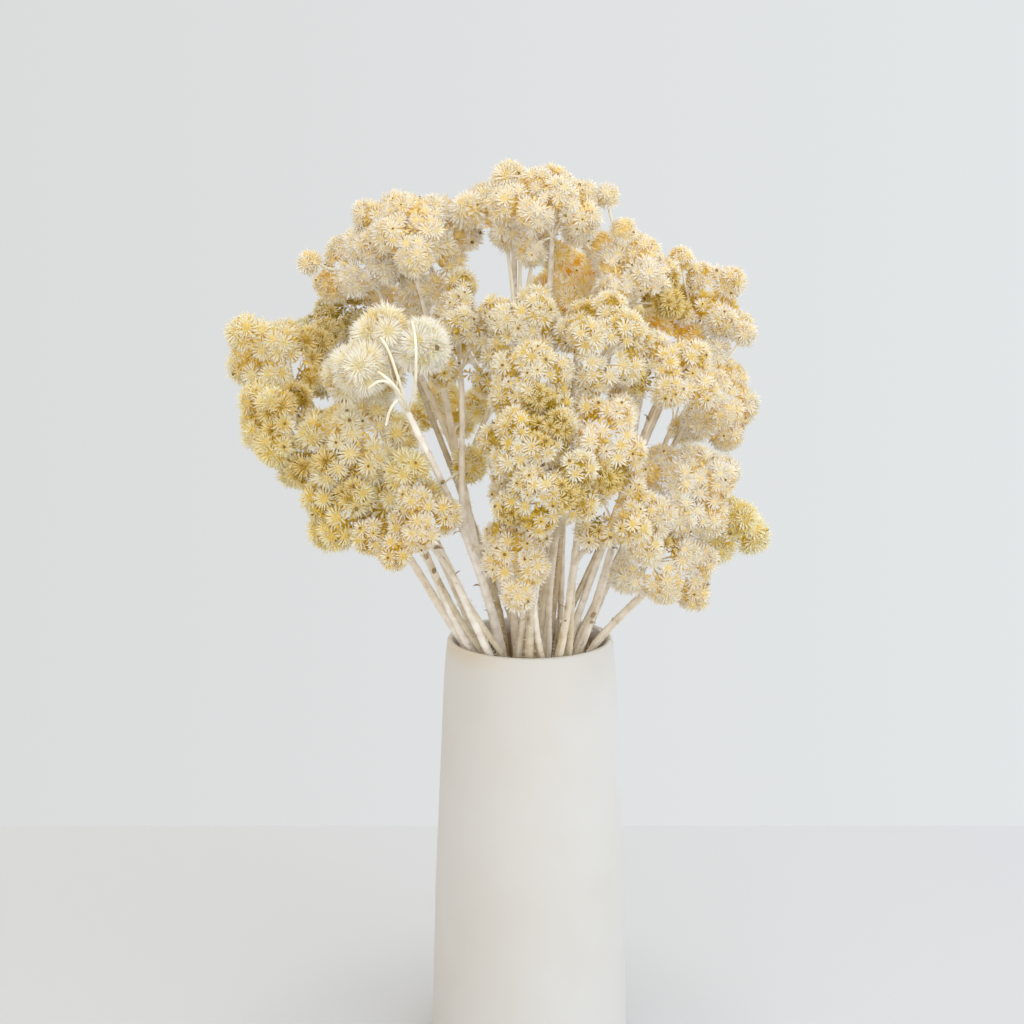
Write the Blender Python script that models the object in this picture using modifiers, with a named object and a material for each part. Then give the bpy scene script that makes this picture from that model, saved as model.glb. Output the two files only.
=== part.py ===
"""A ceramic vase holding a bunch of dried asters.

The bunch is made of forked woolly stems. Each branch ends under a spray: a small
branching point, thin pedicels fanning out of it, and a starry flower head on each pedicel.
Metres, +Z up, origin at the centre of the vase's base, -Y is the front.
"""
import math
import random

import bmesh
import bpy
import numpy as np
from mathutils import Matrix, Vector

MM = 0.001

# Vase
VASE_HEIGHT = 0.213
VASE_FLOOR = 0.0055
VASE_SIDES = 32
MOUTH_RADIUS = 0.0392
LIP_RADIUS = 0.0421
SHOULDER = (0.0436, 0.1985)
BELLY = (0.0490, 0.0815)
FOOT_RADIUS = 0.0512
FOOT_ROUND = 0.0022
INNER_FOOT_ROUND = 0.004
LIP_ROUND = 0.0021
WALL = 0.0036
TURN_WELD = 0.0001

# Stems
STEM_RADIUS = 0.0023
TIP_RADIUS = 0.0017
STEM_SPACING = 0.0086
STEM_REACH_AT_MOUTH = 0.0355
STEM_SPREAD_AT_MOUTH = 0.055
FOOT_SHARE = 0.72
UPRIGHT_AT_MOUTH = 0.25
MOUTH_ROUNDS = 400
MOUTH_PUSH = 0.25
TUBE_WELD = 0.000001
POINTS_IN_VASE = 2
POINTS_ABOVE = 6
FORK_POINT = 2
BRANCH_POINTS = 3

# Sprays
FOCUS_DEPTH = 0.040
REACH = 0.022
CROWN_SHARE = 0.72
# What is added to each spray's outward line to get the way it faces
LEAN_FORWARD = Vector((0.0, -0.45, 0.0))
LEAN_BACK = Vector((0.0, 0.15, 0.0))
OWN_LEANS = {
    "pale_front": Vector((-0.15, 0.60, 0.0)),
    "left_centre": Vector((0.08, 0.25, 0.0)),
    "back_low_left": Vector((-0.10, 0.45, 0.0)),
}
BACK_STARTS = 0.040
PACKING = 0.85
WIDEST_CAP = 0.95
SPIRAL_START = 0.3
HUB_LOW_RADIUS = 0.0019
HUB_TOP_RADIUS = 0.0052
HUB_DEPTH = 0.0046
HUB_SIDES = 5

# Flower heads
CORE_SHARE = 0.62
NECK_SHARE = 0.85
PEDICEL_RADIUS = 0.00075
FOOT_SPREAD = 0.125
FOOT_LIMIT = 0.0026
FOOT_SINK = 0.0008
SIZE_JITTER = (0.93, 1.15)
REACH_JITTER = 0.002
DISC_FACE_ABOVE = 0.9

# Clearances
SEAT_GAP = 0.0004
STEM_END_GAP = 0.0009
HEAD_GAP = 0.0006
STEM_GAP = 0.0009
PEDICEL_GAP = 0.0007

# Settling of the heads: shares of each overlap taken up in a step, and its bounds
SETTLE_STEPS = 320
RELIST_EVERY = 10
NEAR = 0.034
HOME_PULL = 0.02
HEAD_PUSH = 0.35
PEDICEL_PUSH = 0.3
PEDICEL_YIELD = 0.6
STEM_PUSH = 0.5
STEP_LIMIT = 0.002
NEGLIGIBLE = 0.000000001

SEED = 11
GOLDEN_ANGLE = math.pi * (3 - math.sqrt(5))
UP = Vector((0.0, 0.0, 1.0))

# Linear colours
CERAMIC = (0.74, 0.70, 0.63, 1.0)
STALK = (0.50, 0.40, 0.26, 1.0)
CERAMIC_ROUGHNESS = 0.5
STALK_ROUGHNESS = 0.9
BRACT_ROUGHNESS = 0.85
TONES = {
    "cream": (0.78, 0.68, 0.46, 1.0),
    "pale": (0.86, 0.80, 0.64, 1.0),
    "straw": (0.72, 0.52, 0.21, 1.0),
    "amber": (0.70, 0.45, 0.15, 1.0),
    "dusk": (0.50, 0.36, 0.15, 1.0),
}

# Each spray: middle of its heads (mm, height above the lip), heads, head radius (mm), stem, tone
SPRAYS = {
    "far_left": (-128, 8, 140, 6, 9.0, 1, "straw"),
    "left_low": (-122, -25, 114, 5, 8.4, 1, "straw"),
    "left_back": (-101, 42, 149, 6, 8.0, 2, "dusk"),
    "back_left": (-84, 62, 112, 5, 8.0, 2, "cream"),
    "top_left_outer": (-82, 14, 190, 7, 7.8, 3, "cream"),
    "top_left": (-62, -10, 206, 7, 7.6, 3, "cream"),
    "top_left_inner": (-54, 17, 203, 7, 7.8, 4, "straw"),
    "crown_left": (-9, 15, 216, 7, 7.8, 4, "straw"),
    "back_upper": (-70, 54, 160, 6, 7.8, 5, "cream"),
    "back_middle": (-20, 92, 140, 5, 7.8, 5, "cream"),
    "back_low_left": (-48, 96, 98, 4, 7.8, 5, "straw"),
    "pale_front": (-71, -75, 155, 7, 9.4, 6, "pale"),
    "left_centre": (-36, -25, 158, 7, 8.0, 6, "straw"),
    "crown_right": (11, -8, 219, 7, 8.0, 7, "cream"),
    "upper_right": (51, 0, 183, 7, 7.8, 7, "pale"),
    "amber_back": (29, 35, 177, 7, 8.2, 8, "amber"),
    "back_right": (46, 78, 150, 6, 7.8, 8, "straw"),
    "right_top": (89, 24, 162, 7, 7.4, 9, "cream"),
    "right_amber": (68, 20, 158, 4, 7.4, 9, "amber"),
    "right_side": (90, 5, 128, 7, 7.6, 10, "cream"),
    "right_back": (82, 56, 114, 4, 7.8, 10, "cream"),
    "right_front": (66, -45, 141, 7, 7.6, 11, "cream"),
    "right_low": (76, -45, 85, 8, 8.2, 11, "cream"),
    "centre_right": (34, -60, 159, 8, 8.0, 12, "pale"),
    "centre_top": (-3, -45, 163, 7, 7.6, 12, "cream"),
    "centre": (-3, -80, 141, 7, 7.6, 13, "pale"),
    "centre_mid": (-1, -95, 118, 7, 7.6, 13, "cream"),
    "centre_low": (6, -105, 99, 7, 7.6, 14, "cream"),
    "front_lowest": (-8, -98, 64, 6, 7.8, 14, "cream"),
    "front_right": (30, -85, 119, 7, 7.8, 15, "pale"),
    "front_right_low": (42, -84, 83, 7, 7.8, 15, "cream"),
    "right_lowest": (63, -60, 60, 7, 8.2, 16, "cream"),
    "far_right": (98, -12, 60, 1, 8.6, 16, "straw"),
    "left_front": (-59, -70, 90, 5, 8.0, 17, "straw"),
    "left_front_low": (-55, -85, 78, 5, 7.8, 17, "cream"),
    "left_mid": (-78, -58, 111, 6, 8.4, 18, "pale"),
    "left_yellow": (-102, -35, 102, 7, 8.0, 18, "straw"),
    "left_lowest": (-84, -62, 88, 5, 8.0, 18, "straw"),
    "back_centre": (14, 104, 100, 5, 7.8, 19, "cream"),
    "back_low_right": (40, 92, 68, 5, 7.8, 19, "cream"),
}

# Heads that stand away from their spray on a longer pedicel: spray, place (mm), radius (mm)
STRAYS = [
    ("upper_right", (36, 0, 222), 6.4),
    ("upper_right", (45, -2, 206), 6.8),
    ("upper_right", (31, 6, 197), 7.6),
    ("upper_right", (22, 4, 203), 7.6),
    ("amber_back", (12, 14, 193), 7.6),
    ("amber_back", (16, 10, 173), 7.6),
    ("crown_left", (-26, 6, 216), 7.8),
    ("crown_left", (8, 0, 204), 7.6),
    ("crown_right", (-1, -6, 197), 7.6),
    ("top_left_outer", (-108, 0, 190), 6.6),
    ("top_left_outer", (-83, 10, 197), 7.6),
    ("top_left_outer", (-73, 15, 181), 7.6),
    ("top_left", (-78, 4, 208), 7.4),
    ("top_left_inner", (-43, 8, 190), 7.6),
    ("top_left_inner", (-49, 6, 179), 7.6),
    ("top_left_inner", (-61, 10, 181), 7.4),
    ("back_upper", (-88, 40, 170), 7.8),
    ("back_upper", (-60, 25, 160), 7.8),
    ("left_back", (-106, 15, 128), 7.8),
    ("left_back", (-94, 18, 123), 7.8),
    ("left_back", (-90, 5, 133), 7.4),
    ("far_left", (-136, 0, 153), 8.2),
    ("far_left", (-113, 4, 135), 8.0),
    ("left_low", (-131, -14, 126), 7.8),
    ("left_centre", (-41, -36, 142), 7.6),
    ("left_centre", (-21, -39, 138), 7.4),
    ("left_centre", (-35, -12, 179), 7.6),
    ("left_lowest", (-97, -60, 70), 7.8),
    ("left_front_low", (-72, -80, 74), 8.0),
    ("left_front", (-30, -32, 95), 7.8),
    ("right_side", (106, 0, 155), 6.4),
    ("right_side", (90, 8, 147), 7.4),
    ("right_side", (98, 0, 104), 7.6),
    ("right_side", (87, -4, 113), 7.6),
    ("front_right", (45, -34, 130), 7.6),
    ("right_top", (74, 15, 190), 7.0),
    ("right_top", (97, 20, 179), 7.4),
    ("right_top", (88, 20, 176), 7.4),
    ("right_back", (80, 34, 101), 7.6),
    ("right_lowest", (78, -52, 37), 8.4),
    ("back_low_left", (-29, 88, 104), 7.6),
    ("right_low", (88, -40, 87), 7.8),
    ("far_right", (108, -12, 57), 8.6),
    ("far_right", (98, -22, 68), 8.2),
    ("far_right", (89, -24, 75), 8.0),
    ("far_right", (92, -20, 54), 8.0),
    ("centre_mid", (-17, -88, 102), 7.6),
    ("front_lowest", (-14, -92, 84), 7.6),
    ("front_lowest", (-17, -82, 92), 7.4),
]


class Spray:
    """Where a spray stands, which way it faces and what it carries."""

    def __init__(self, name, row):
        x, y, above_lip, self.count, radius, self.stem, self.tone = row
        middle = Vector((x, y, above_lip)) * MM
        lean = OWN_LEANS.get(name, LEAN_FORWARD if middle.y < BACK_STARTS else LEAN_BACK)
        outward = (middle + UP * FOCUS_DEPTH).normalized()
        self.name = name
        self.radius = radius * MM
        self.middle = middle + UP * VASE_HEIGHT
        self.axis = (outward + lean).normalized()
        self.side = self.axis.cross(UP).normalized()
        self.upper = self.side.cross(self.axis)
        self.hub = self.middle - self.axis * CROWN_SHARE * REACH
        self.seat = self.hub - self.axis * (HUB_DEPTH / 2 + STEM_END_GAP)


def start_heads(sprays):
    """Heads at the golden angle over a cap round each hub, before they are pushed apart."""
    centres = []
    radii = []
    owners = []
    for index, spray in enumerate(sprays):
        covered = spray.count * (2 * spray.radius) ** 2 * PACKING / (2 * math.pi * REACH ** 2)
        widest = math.acos(1 - min(WIDEST_CAP, covered))
        rng = random.Random(SEED + index)
        first = rng.uniform(0, 2 * math.pi)
        for i in range(spray.count):
            tilt = widest * math.sqrt((i + SPIRAL_START) / spray.count)
            angle = first + GOLDEN_ANGLE * i
            outward = spray.side * math.cos(angle) + spray.upper * math.sin(angle)
            direction = spray.axis * math.cos(tilt) + outward * math.sin(tilt)
            reach = REACH + rng.uniform(-REACH_JITTER, REACH_JITTER)
            centres.append(spray.hub + direction * reach)
            radii.append(spray.radius * rng.uniform(*SIZE_JITTER))
            owners.append(index)
    names = [spray.name for spray in sprays]
    for name, place, radius in STRAYS:
        centres.append(Vector(place) * MM + UP * VASE_HEIGHT)
        radii.append(radius * MM)
        owners.append(names.index(name))
    return np.array(centres), np.array(radii), np.array(owners)


def places_in_mouth(sprays, stems):
    """Where each stem crosses the mouth: under the sprays it carries, and clear of the others."""
    wanted = []
    for stem in stems:
        leans = [s.middle.xy / (s.middle.z - VASE_HEIGHT + FOCUS_DEPTH) for s in sprays if s.stem == stem]
        wanted.append(sum(leans, Vector((0.0, 0.0))) / len(leans) * STEM_SPREAD_AT_MOUTH)
    places = np.array(wanted)
    for _ in range(MOUTH_ROUNDS):
        apart = places[:, None] - places[None]
        distance = np.linalg.norm(apart, axis=2) + np.eye(len(places))
        push = np.clip(STEM_SPACING - distance, 0, None) / distance
        places = places + (push[..., None] * apart).sum(axis=1) * MOUTH_PUSH
        out = np.linalg.norm(places, axis=1, keepdims=True)
        places = places * np.minimum(1, STEM_REACH_AT_MOUTH / out)
    return [Vector((x, y, VASE_HEIGHT)) for x, y in places]


def smooth_run(start, start_way, end, end_way, count):
    """Points on one smooth curve that leaves along start_way and arrives along end_way."""
    length = (end - start).length
    points = []
    for i in range(count):
        t = i / (count - 1)
        point = start * (2 * t ** 3 - 3 * t ** 2 + 1) + end * (3 * t ** 2 - 2 * t ** 3)
        point += start_way * length * (t ** 3 - 2 * t ** 2 + t)
        point += end_way * length * (t ** 3 - t ** 2)
        points.append(point)
    return points


def stem_runs(sprays):
    """For each stem, the points of its main run and of each side branch."""
    stems = sorted({spray.stem for spray in sprays})
    runs = {}
    for stem, mouth in zip(stems, places_in_mouth(sprays, stems)):
        mine = sorted((s for s in sprays if s.stem == stem), key=lambda s: -(s.hub - mouth).length)
        foot = Vector((mouth.x * FOOT_SHARE, mouth.y * FOOT_SHARE, VASE_FLOOR + SEAT_GAP))
        seats = sum((s.seat for s in mine), Vector()) / len(mine)
        lean = (UP * UPRIGHT_AT_MOUTH + (seats - mouth).normalized()).normalized()
        inside = smooth_run(foot, UP, mouth, lean, POINTS_IN_VASE)
        above = smooth_run(mouth, lean, mine[0].seat, mine[0].axis, POINTS_ABOVE)
        fork = above[FORK_POINT]
        onward = (above[FORK_POINT + 1] - above[FORK_POINT - 1]).normalized()
        runs[stem] = [inside + above[1:]]
        for spray in mine[1:]:
            runs[stem].append(smooth_run(fork, onward, spray.seat, spray.axis, BRANCH_POINTS))
    return runs


def nearest_on(points, starts, ends):
    """For each pair, the place on the segment nearest the point, and its share of the segment."""
    along = ends - starts
    length_squared = np.maximum((along * along).sum(axis=1), NEGLIGIBLE ** 2)
    share = np.clip(((points - starts) * along).sum(axis=1) / length_squared, 0, 1)[:, None]
    return starts + along * share, share


def push_from(points, places, clear):
    """The move that takes each point to its clear distance from its place."""
    apart = points - places
    distance = np.maximum(np.linalg.norm(apart, axis=1, keepdims=True), NEGLIGIBLE)
    return apart / distance * np.clip(clear[:, None] - distance, 0, None)


def pedicel_feet(centres, hubs, axes):
    """Where each pedicel is rooted: just under the top of its hub, on its head's side of it."""
    offset = centres - hubs
    sideways = offset - (offset * axes).sum(axis=1, keepdims=True) * axes
    length = np.linalg.norm(sideways, axis=1, keepdims=True)
    share = np.minimum(FOOT_SPREAD, FOOT_LIMIT / np.maximum(length, NEGLIGIBLE))
    return hubs + axes * (HUB_DEPTH / 2 - FOOT_SINK) + sideways * share


def settle_heads(sprays, runs):
    """Push the heads apart, off the stems, and off the pedicels and hubs of other heads."""
    centres, radii, owners = start_heads(sprays)
    home = centres.copy()
    hubs = np.array([spray.hub for spray in sprays])
    axes = np.array([spray.axis for spray in sprays])[owners]
    own_hub = hubs[owners]
    segments = [pair for parts in runs.values() for run in parts for pair in zip(run[:-1], run[1:])]
    starts = np.array([a for a, b in segments])
    ends = np.array([b for a, b in segments])
    for step in range(SETTLE_STEPS):
        feet = pedicel_feet(centres, own_hub, axes)
        if step % RELIST_EVERY == 0:
            gap = np.linalg.norm(centres[:, None] - centres[None], axis=2)
            one, two = np.nonzero(np.triu(gap < NEAR, 1))
            middles = (starts + ends) / 2
            halves = np.linalg.norm(ends - starts, axis=1) / 2
            gap = np.linalg.norm(centres[:, None] - middles[None], axis=2) - halves[None]
            head, segment = np.nonzero(gap < NEAR / 2)
            gap = np.linalg.norm(centres[:, None] - (centres + feet)[None] / 2, axis=2)
            by, pedicel = np.nonzero((gap < NEAR) & ~np.eye(len(radii), dtype=bool))
            gap = np.linalg.norm(centres[:, None] - hubs[None], axis=2)
            over, hub = np.nonzero(gap < NEAR)
        move = (home - centres) * HOME_PULL
        push = push_from(centres[one], centres[two], radii[one] + radii[two] + HEAD_GAP) * HEAD_PUSH
        np.add.at(move, one, push)
        np.add.at(move, two, -push)
        place, share = nearest_on(centres[by], feet[pedicel], centres[pedicel])
        clear = np.where(owners[by] == owners[pedicel], radii[by] + PEDICEL_RADIUS,
                         radii[by] + PEDICEL_RADIUS + PEDICEL_GAP)
        push = push_from(centres[by], place, clear) * PEDICEL_PUSH
        np.add.at(move, by, push)
        np.add.at(move, pedicel, -push * share * PEDICEL_YIELD)
        place, share = nearest_on(centres[head], starts[segment], ends[segment])
        push = push_from(centres[head], place, radii[head] + STEM_RADIUS + STEM_GAP)
        np.add.at(move, head, push * STEM_PUSH)
        push = push_from(centres[over], hubs[hub], radii[over] + HUB_TOP_RADIUS + STEM_GAP)
        np.add.at(move, over, push * STEM_PUSH)
        centres = centres + np.clip(move, -STEP_LIMIT, STEP_LIMIT)
    return centres, pedicel_feet(centres, own_hub, axes), radii, owners


def material(name, colour, roughness):
    shader = bpy.data.materials.new(name)
    shader.use_nodes = True
    principled = shader.node_tree.nodes["Principled BSDF"]
    principled.inputs["Base Color"].default_value = colour
    principled.inputs["Roughness"].default_value = roughness
    principled.inputs["Metallic"].default_value = 0.0
    shader.diffuse_color = colour
    return shader


def add_object(name, mesh, collection):
    thing = bpy.data.objects.new(name, mesh)
    collection.objects.link(thing)
    return thing


def fuse(name, pieces, collection):
    """One body from overlapping closed pieces."""
    base = pieces[0]
    union = base.modifiers.new("union", "BOOLEAN")
    union.operation = "UNION"
    union.solver = "EXACT"
    union.operand_type = "COLLECTION"
    others = bpy.data.collections.new(name + "_pieces")
    bpy.context.scene.collection.children.link(others)
    for piece in pieces[1:]:
        collection.objects.unlink(piece)
        others.objects.link(piece)
    union.collection = others
    graph = bpy.context.evaluated_depsgraph_get()
    mesh = bpy.data.meshes.new_from_object(base.evaluated_get(graph))
    mesh.name = name
    for piece in pieces:
        bpy.data.objects.remove(piece)
    bpy.data.collections.remove(others)
    return add_object(name, mesh, collection)


def make_vase(collection):
    """The ceramic body, turned from one profile: floor, inner wall, lip, outer wall, base."""
    lip_top = (MOUTH_RADIUS + LIP_RADIUS) / 2
    profile = [
        (0.0, VASE_FLOOR),
        (FOOT_RADIUS - WALL - INNER_FOOT_ROUND, VASE_FLOOR),
        (FOOT_RADIUS - WALL, VASE_FLOOR + INNER_FOOT_ROUND),
        (SHOULDER[0] - WALL, SHOULDER[1]),
        (MOUTH_RADIUS, VASE_HEIGHT - LIP_ROUND),
        (lip_top, VASE_HEIGHT),
        (LIP_RADIUS, VASE_HEIGHT - LIP_ROUND),
        SHOULDER,
        BELLY,
        (FOOT_RADIUS, FOOT_ROUND),
        (FOOT_RADIUS - FOOT_ROUND, 0.0),
        (0.0, 0.0),
    ]
    bm = bmesh.new()
    points = [bm.verts.new((radius, 0.0, height)) for radius, height in profile]
    for a, b in zip(points[:-1], points[1:]):
        bm.edges.new((a, b))
    mesh = bpy.data.meshes.new("vase")
    bm.to_mesh(mesh)
    bm.free()
    vase = add_object("vase", mesh, collection)
    turn = vase.modifiers.new("turn", "SCREW")
    turn.angle = 2 * math.pi
    turn.steps = VASE_SIDES
    turn.render_steps = VASE_SIDES
    turn.use_merge_vertices = True
    turn.merge_threshold = TURN_WELD
    vase.data.materials.append(material("vase_ceramic", CERAMIC, CERAMIC_ROUGHNESS))
    return vase


def make_tube(name, points, first_radius, last_radius, collection):
    """A four-sided tapering stalk through the points, as a mesh."""
    curve = bpy.data.curves.new(name, "CURVE")
    curve.dimensions = "3D"
    curve.bevel_depth = 1.0
    curve.bevel_resolution = 0
    curve.use_fill_caps = True
    spline = curve.splines.new("POLY")
    spline.points.add(len(points) - 1)
    for i, point in enumerate(points):
        share = i / (len(points) - 1)
        spline.points[i].co = (*point, 1.0)
        spline.points[i].radius = first_radius + (last_radius - first_radius) * share
    tube = add_object(name + "_curve", curve, collection)
    graph = bpy.context.evaluated_depsgraph_get()
    mesh = bpy.data.meshes.new_from_object(tube.evaluated_get(graph))
    bm = bmesh.new()
    bm.from_mesh(mesh)
    bmesh.ops.remove_doubles(bm, verts=bm.verts, dist=TUBE_WELD)
    bm.to_mesh(mesh)
    bm.free()
    solid = add_object(name, mesh, collection)
    solid.matrix_world = tube.matrix_world
    bpy.data.objects.remove(tube)
    return solid


def make_stem(name, runs, collection):
    pieces = []
    for i, run in enumerate(runs):
        thick = STEM_RADIUS if i == 0 else TIP_RADIUS
        pieces.append(make_tube(f"{name}_run_{i}", run, thick, TIP_RADIUS, collection))
    stem = fuse(name, pieces, collection)
    stem.data.materials.append(material(name + "_stalk", STALK, STALK_ROUGHNESS))
    return stem


def upright_on(direction, place):
    """The matrix that stands +Z along the direction at the place."""
    return Matrix.Translation(place) @ direction.to_track_quat("Z", "Y").to_matrix().to_4x4()


def make_hub(name, spray, collection):
    """The small cup that a spray's pedicels grow from."""
    bm = bmesh.new()
    bmesh.ops.create_cone(bm, cap_ends=True, segments=HUB_SIDES, radius1=HUB_LOW_RADIUS,
                          radius2=HUB_TOP_RADIUS, depth=HUB_DEPTH)
    bm.transform(upright_on(spray.axis, spray.hub))
    mesh = bpy.data.meshes.new(name)
    bm.to_mesh(mesh)
    bm.free()
    return add_object(name, mesh, collection)


def make_head(name, centre, foot, radius, roll, collection):
    """A flower head of nine pointed bracts round a flat disc, drawn out into its pedicel."""
    bm = bmesh.new()
    core = CORE_SHARE * radius
    bmesh.ops.create_icosphere(bm, subdivisions=1, radius=core)
    under = min(bm.faces, key=lambda face: face.normal.z)
    stand = under.normal.rotation_difference(-UP).to_matrix()
    bmesh.ops.rotate(bm, verts=bm.verts, matrix=stand)
    bm.normal_update()
    under = min(bm.faces, key=lambda face: face.normal.z)
    upper = [face for face in bm.faces if 0.0 < face.normal.z < DISC_FACE_ABOVE]
    face_height = abs(under.calc_center_median().z)
    neck = list(under.verts)
    for vert in neck:
        inward = PEDICEL_RADIUS / vert.co.xy.length
        vert.co = (vert.co.x * inward, vert.co.y * inward, -NECK_SHARE * radius)
    drawn = bmesh.ops.extrude_face_region(bm, geom=[under])["geom"]
    bmesh.ops.delete(bm, geom=[under], context="FACES_ONLY")
    length = (centre - foot).length
    for item in drawn:
        if isinstance(item, bmesh.types.BMVert):
            item.co.z = -length
    bmesh.ops.poke(bm, faces=upper, offset=radius - face_height)
    bm.transform(upright_on(centre - foot, centre) @ Matrix.Rotation(roll, 4, "Z"))
    bmesh.ops.recalc_face_normals(bm, faces=bm.faces)
    mesh = bpy.data.meshes.new(name)
    bm.to_mesh(mesh)
    bm.free()
    return add_object(name, mesh, collection)


def make_flowers(spray, heads, rng, collection):
    name = "flowers_" + spray.name
    pieces = [make_hub(name + "_hub", spray, collection)]
    for i, (centre, foot, radius) in enumerate(heads):
        roll = rng.uniform(0, 2 * math.pi)
        pieces.append(make_head(f"{name}_{i}", Vector(centre), Vector(foot), radius, roll, collection))
    flowers = fuse(name, pieces, collection)
    flowers.data.materials.append(material(name + "_bracts", TONES[spray.tone], BRACT_ROUGHNESS))
    return flowers


def main():
    for thing in list(bpy.data.objects):
        bpy.data.objects.remove(thing)
    collection = bpy.data.collections.new("vase_of_dried_asters")
    bpy.context.scene.collection.children.link(collection)

    sprays = [Spray(name, row) for name, row in SPRAYS.items()]
    runs = stem_runs(sprays)
    centres, feet, radii, owners = settle_heads(sprays, runs)

    make_vase(collection)
    for stem, parts in runs.items():
        make_stem(f"stem_{stem:02d}", parts, collection)
    rng = random.Random(SEED)
    for index, spray in enumerate(sprays):
        mine = np.nonzero(owners == index)[0]
        make_flowers(spray, [(centres[i], feet[i], radii[i]) for i in mine], rng, collection)


main()
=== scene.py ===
"""Looks for the vase of dried asters: bristly heads, woolly stalks, leaf scraps and matte ceramic."""

import math
import random

import bpy
import numpy as np
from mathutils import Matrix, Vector


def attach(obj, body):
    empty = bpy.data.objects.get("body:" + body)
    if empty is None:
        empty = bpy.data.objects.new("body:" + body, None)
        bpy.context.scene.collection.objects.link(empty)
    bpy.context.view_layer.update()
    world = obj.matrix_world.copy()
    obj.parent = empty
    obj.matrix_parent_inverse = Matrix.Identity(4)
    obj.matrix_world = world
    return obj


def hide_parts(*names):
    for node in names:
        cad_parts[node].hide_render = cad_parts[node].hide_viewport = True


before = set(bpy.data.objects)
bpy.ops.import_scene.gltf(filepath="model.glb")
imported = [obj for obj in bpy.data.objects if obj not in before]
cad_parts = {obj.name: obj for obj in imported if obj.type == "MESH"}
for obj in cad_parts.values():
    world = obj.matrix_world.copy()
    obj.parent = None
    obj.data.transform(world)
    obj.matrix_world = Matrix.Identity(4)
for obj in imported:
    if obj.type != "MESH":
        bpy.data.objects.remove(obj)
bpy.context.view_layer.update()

MM = 0.001
UP = Vector((0.0, 0.0, 1.0))
GOLDEN_ANGLE = math.pi * (3 - math.sqrt(5))
SEED = 11
PRINT_GAMMA = 1.35

# Vase
VASE_HEIGHT = 0.213
VASE_FLOOR = 0.0055
VASE_STEPS = 160
MOUTH_RADIUS = 0.0392
LIP_RADIUS = 0.0421
SHOULDER = (0.0436, 0.1985)
BELLY = (0.0490, 0.0815)
FOOT_RADIUS = 0.0512
FOOT_ROUND = 0.0022
INNER_FOOT_ROUND = 0.004
WALL = 0.0036
OUTER_ROWS = 48
INNER_ROWS = 24
SMOOTHINGS = 3
ARC_STEP = 18
MERGE_WITHIN = 0.00001

# Stalks
STEM_RADIUS = 0.0023
STEM_SPACING = 0.0086
STEM_REACH_AT_MOUTH = 0.0355
STEM_SPREAD_AT_MOUTH = 0.055
FOOT_SHARE = 0.72
UPRIGHT_AT_MOUTH = 0.25
MOUTH_ROUNDS = 400
MOUTH_PUSH = 0.25
POINTS_IN_VASE = 2
POINTS_ABOVE = 6
FORK_POINT = 2
BRANCH_POINTS = 3
FINE_POINTS = 76
BRANCH_FINE_POINTS = 40
FINE_UPRIGHT = 0.06
SEAT_GAP = 0.0004
STEM_END_GAP = 0.0009

# Sprays
FOCUS_DEPTH = 0.040
REACH = 0.022
CROWN_SHARE = 0.72
LEAN_FORWARD = Vector((0.0, -0.45, 0.0))
LEAN_BACK = Vector((0.0, 0.15, 0.0))
OWN_LEANS = {
    "pale_front": Vector((-0.15, 0.60, 0.0)),
    "left_centre": Vector((0.08, 0.25, 0.0)),
    "back_low_left": Vector((-0.10, 0.45, 0.0)),
}
BACK_STARTS = 0.040
PACKING = 0.85
WIDEST_CAP = 0.95
SPIRAL_START = 0.3
HUB_TOP_RADIUS = 0.0052
HUB_DEPTH = 0.0046

# Heads
PEDICEL_RADIUS = 0.00075
FOOT_SPREAD = 0.125
FOOT_LIMIT = 0.0026
FOOT_SINK = 0.0008
SIZE_JITTER = (0.93, 1.15)
REACH_JITTER = 0.002
HEAD_GAP = 0.0006
STEM_GAP = 0.0009
PEDICEL_GAP = 0.0007

# Settling of the heads
SETTLE_STEPS = 320
RELIST_EVERY = 10
NEAR = 0.034
HOME_PULL = 0.02
HEAD_PUSH = 0.35
PEDICEL_PUSH = 0.3
PEDICEL_YIELD = 0.6
STEM_PUSH = 0.5
STEP_LIMIT = 0.002
NEGLIGIBLE = 0.000000001

# Small daisies over the blended surface of a spray's heads; MARCH is first share, last share and steps
FLUFF = 1.30
BLEND = 2.0
CORE_SHARE = 0.50
DAISY_SINK = 0.38
FILLER_SINK = 0.50
LOWEST_DAISY = -0.66
CANDIDATES = 90
MARCH = (0.70, 1.36, 34)
FILLER_SPACING = 0.62
FILLER_REACH = 0.85
# Fillers are far less pale than the daisies: dark gold that paints the shade in the gaps
FILLER_PALENESS = -0.20
SMALL_HEAD = 0.0070
SMALL_FLUFF = 1.02
OWN_FLUFF = {"front_lowest": 1.14}

# Sprays drawn in to bare the stalks beside them: share of their width that is kept, middle line (mm)
NARROWED = {"front_lowest": (0.68, -2), "centre": (0.80, 8), "centre_mid": (0.80, 8),
            "centre_low": (0.84, 10)}

# Kinds of daisy: spacing, shortest and longest reach of the petals, share of the usual number of petals
DAISIES = {
    "small": (0.0053, 0.0037, 0.0051, 1.0),
    "large": (0.0072, 0.0052, 0.0066, 1.40),
    "pompom": (0.0098, 0.0070, 0.0086, 4.80),
}
LARGE_TONES = ("straw", "pale")
LARGE_SPRAYS = ("crown_left", "top_left_inner", "far_left", "left_mid")
POMPOMS = ("pale_front",)
CUSHION_SHAPE = (0.46, 0.24)
DISC_SHARE = 0.20
PETALS_IN_SIGHT = 38
PETALS_BEHIND = 17
PETALS_BURIED = 7
PETALS_OF_FILLER = 8
BEHIND = 0.30
BURIED_WITHIN = 0.014
PETAL_TILTS = (6.0, 94.0)
PETAL_LENGTHS = (0.44, 1.0)
INNER_SHARE = 0.34
PETAL_WIDTH = 0.160
PETAL_JITTER = 0.09
LENGTH_JITTER = (0.84, 1.08)
WIDTH_JITTER = (0.8, 1.2)
OPENING_CURVE = 0.70
ROOTS_WITHIN_DISC = (0.25, 0.75)
INNER_WIDTH = (0.60, 0.40)
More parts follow.
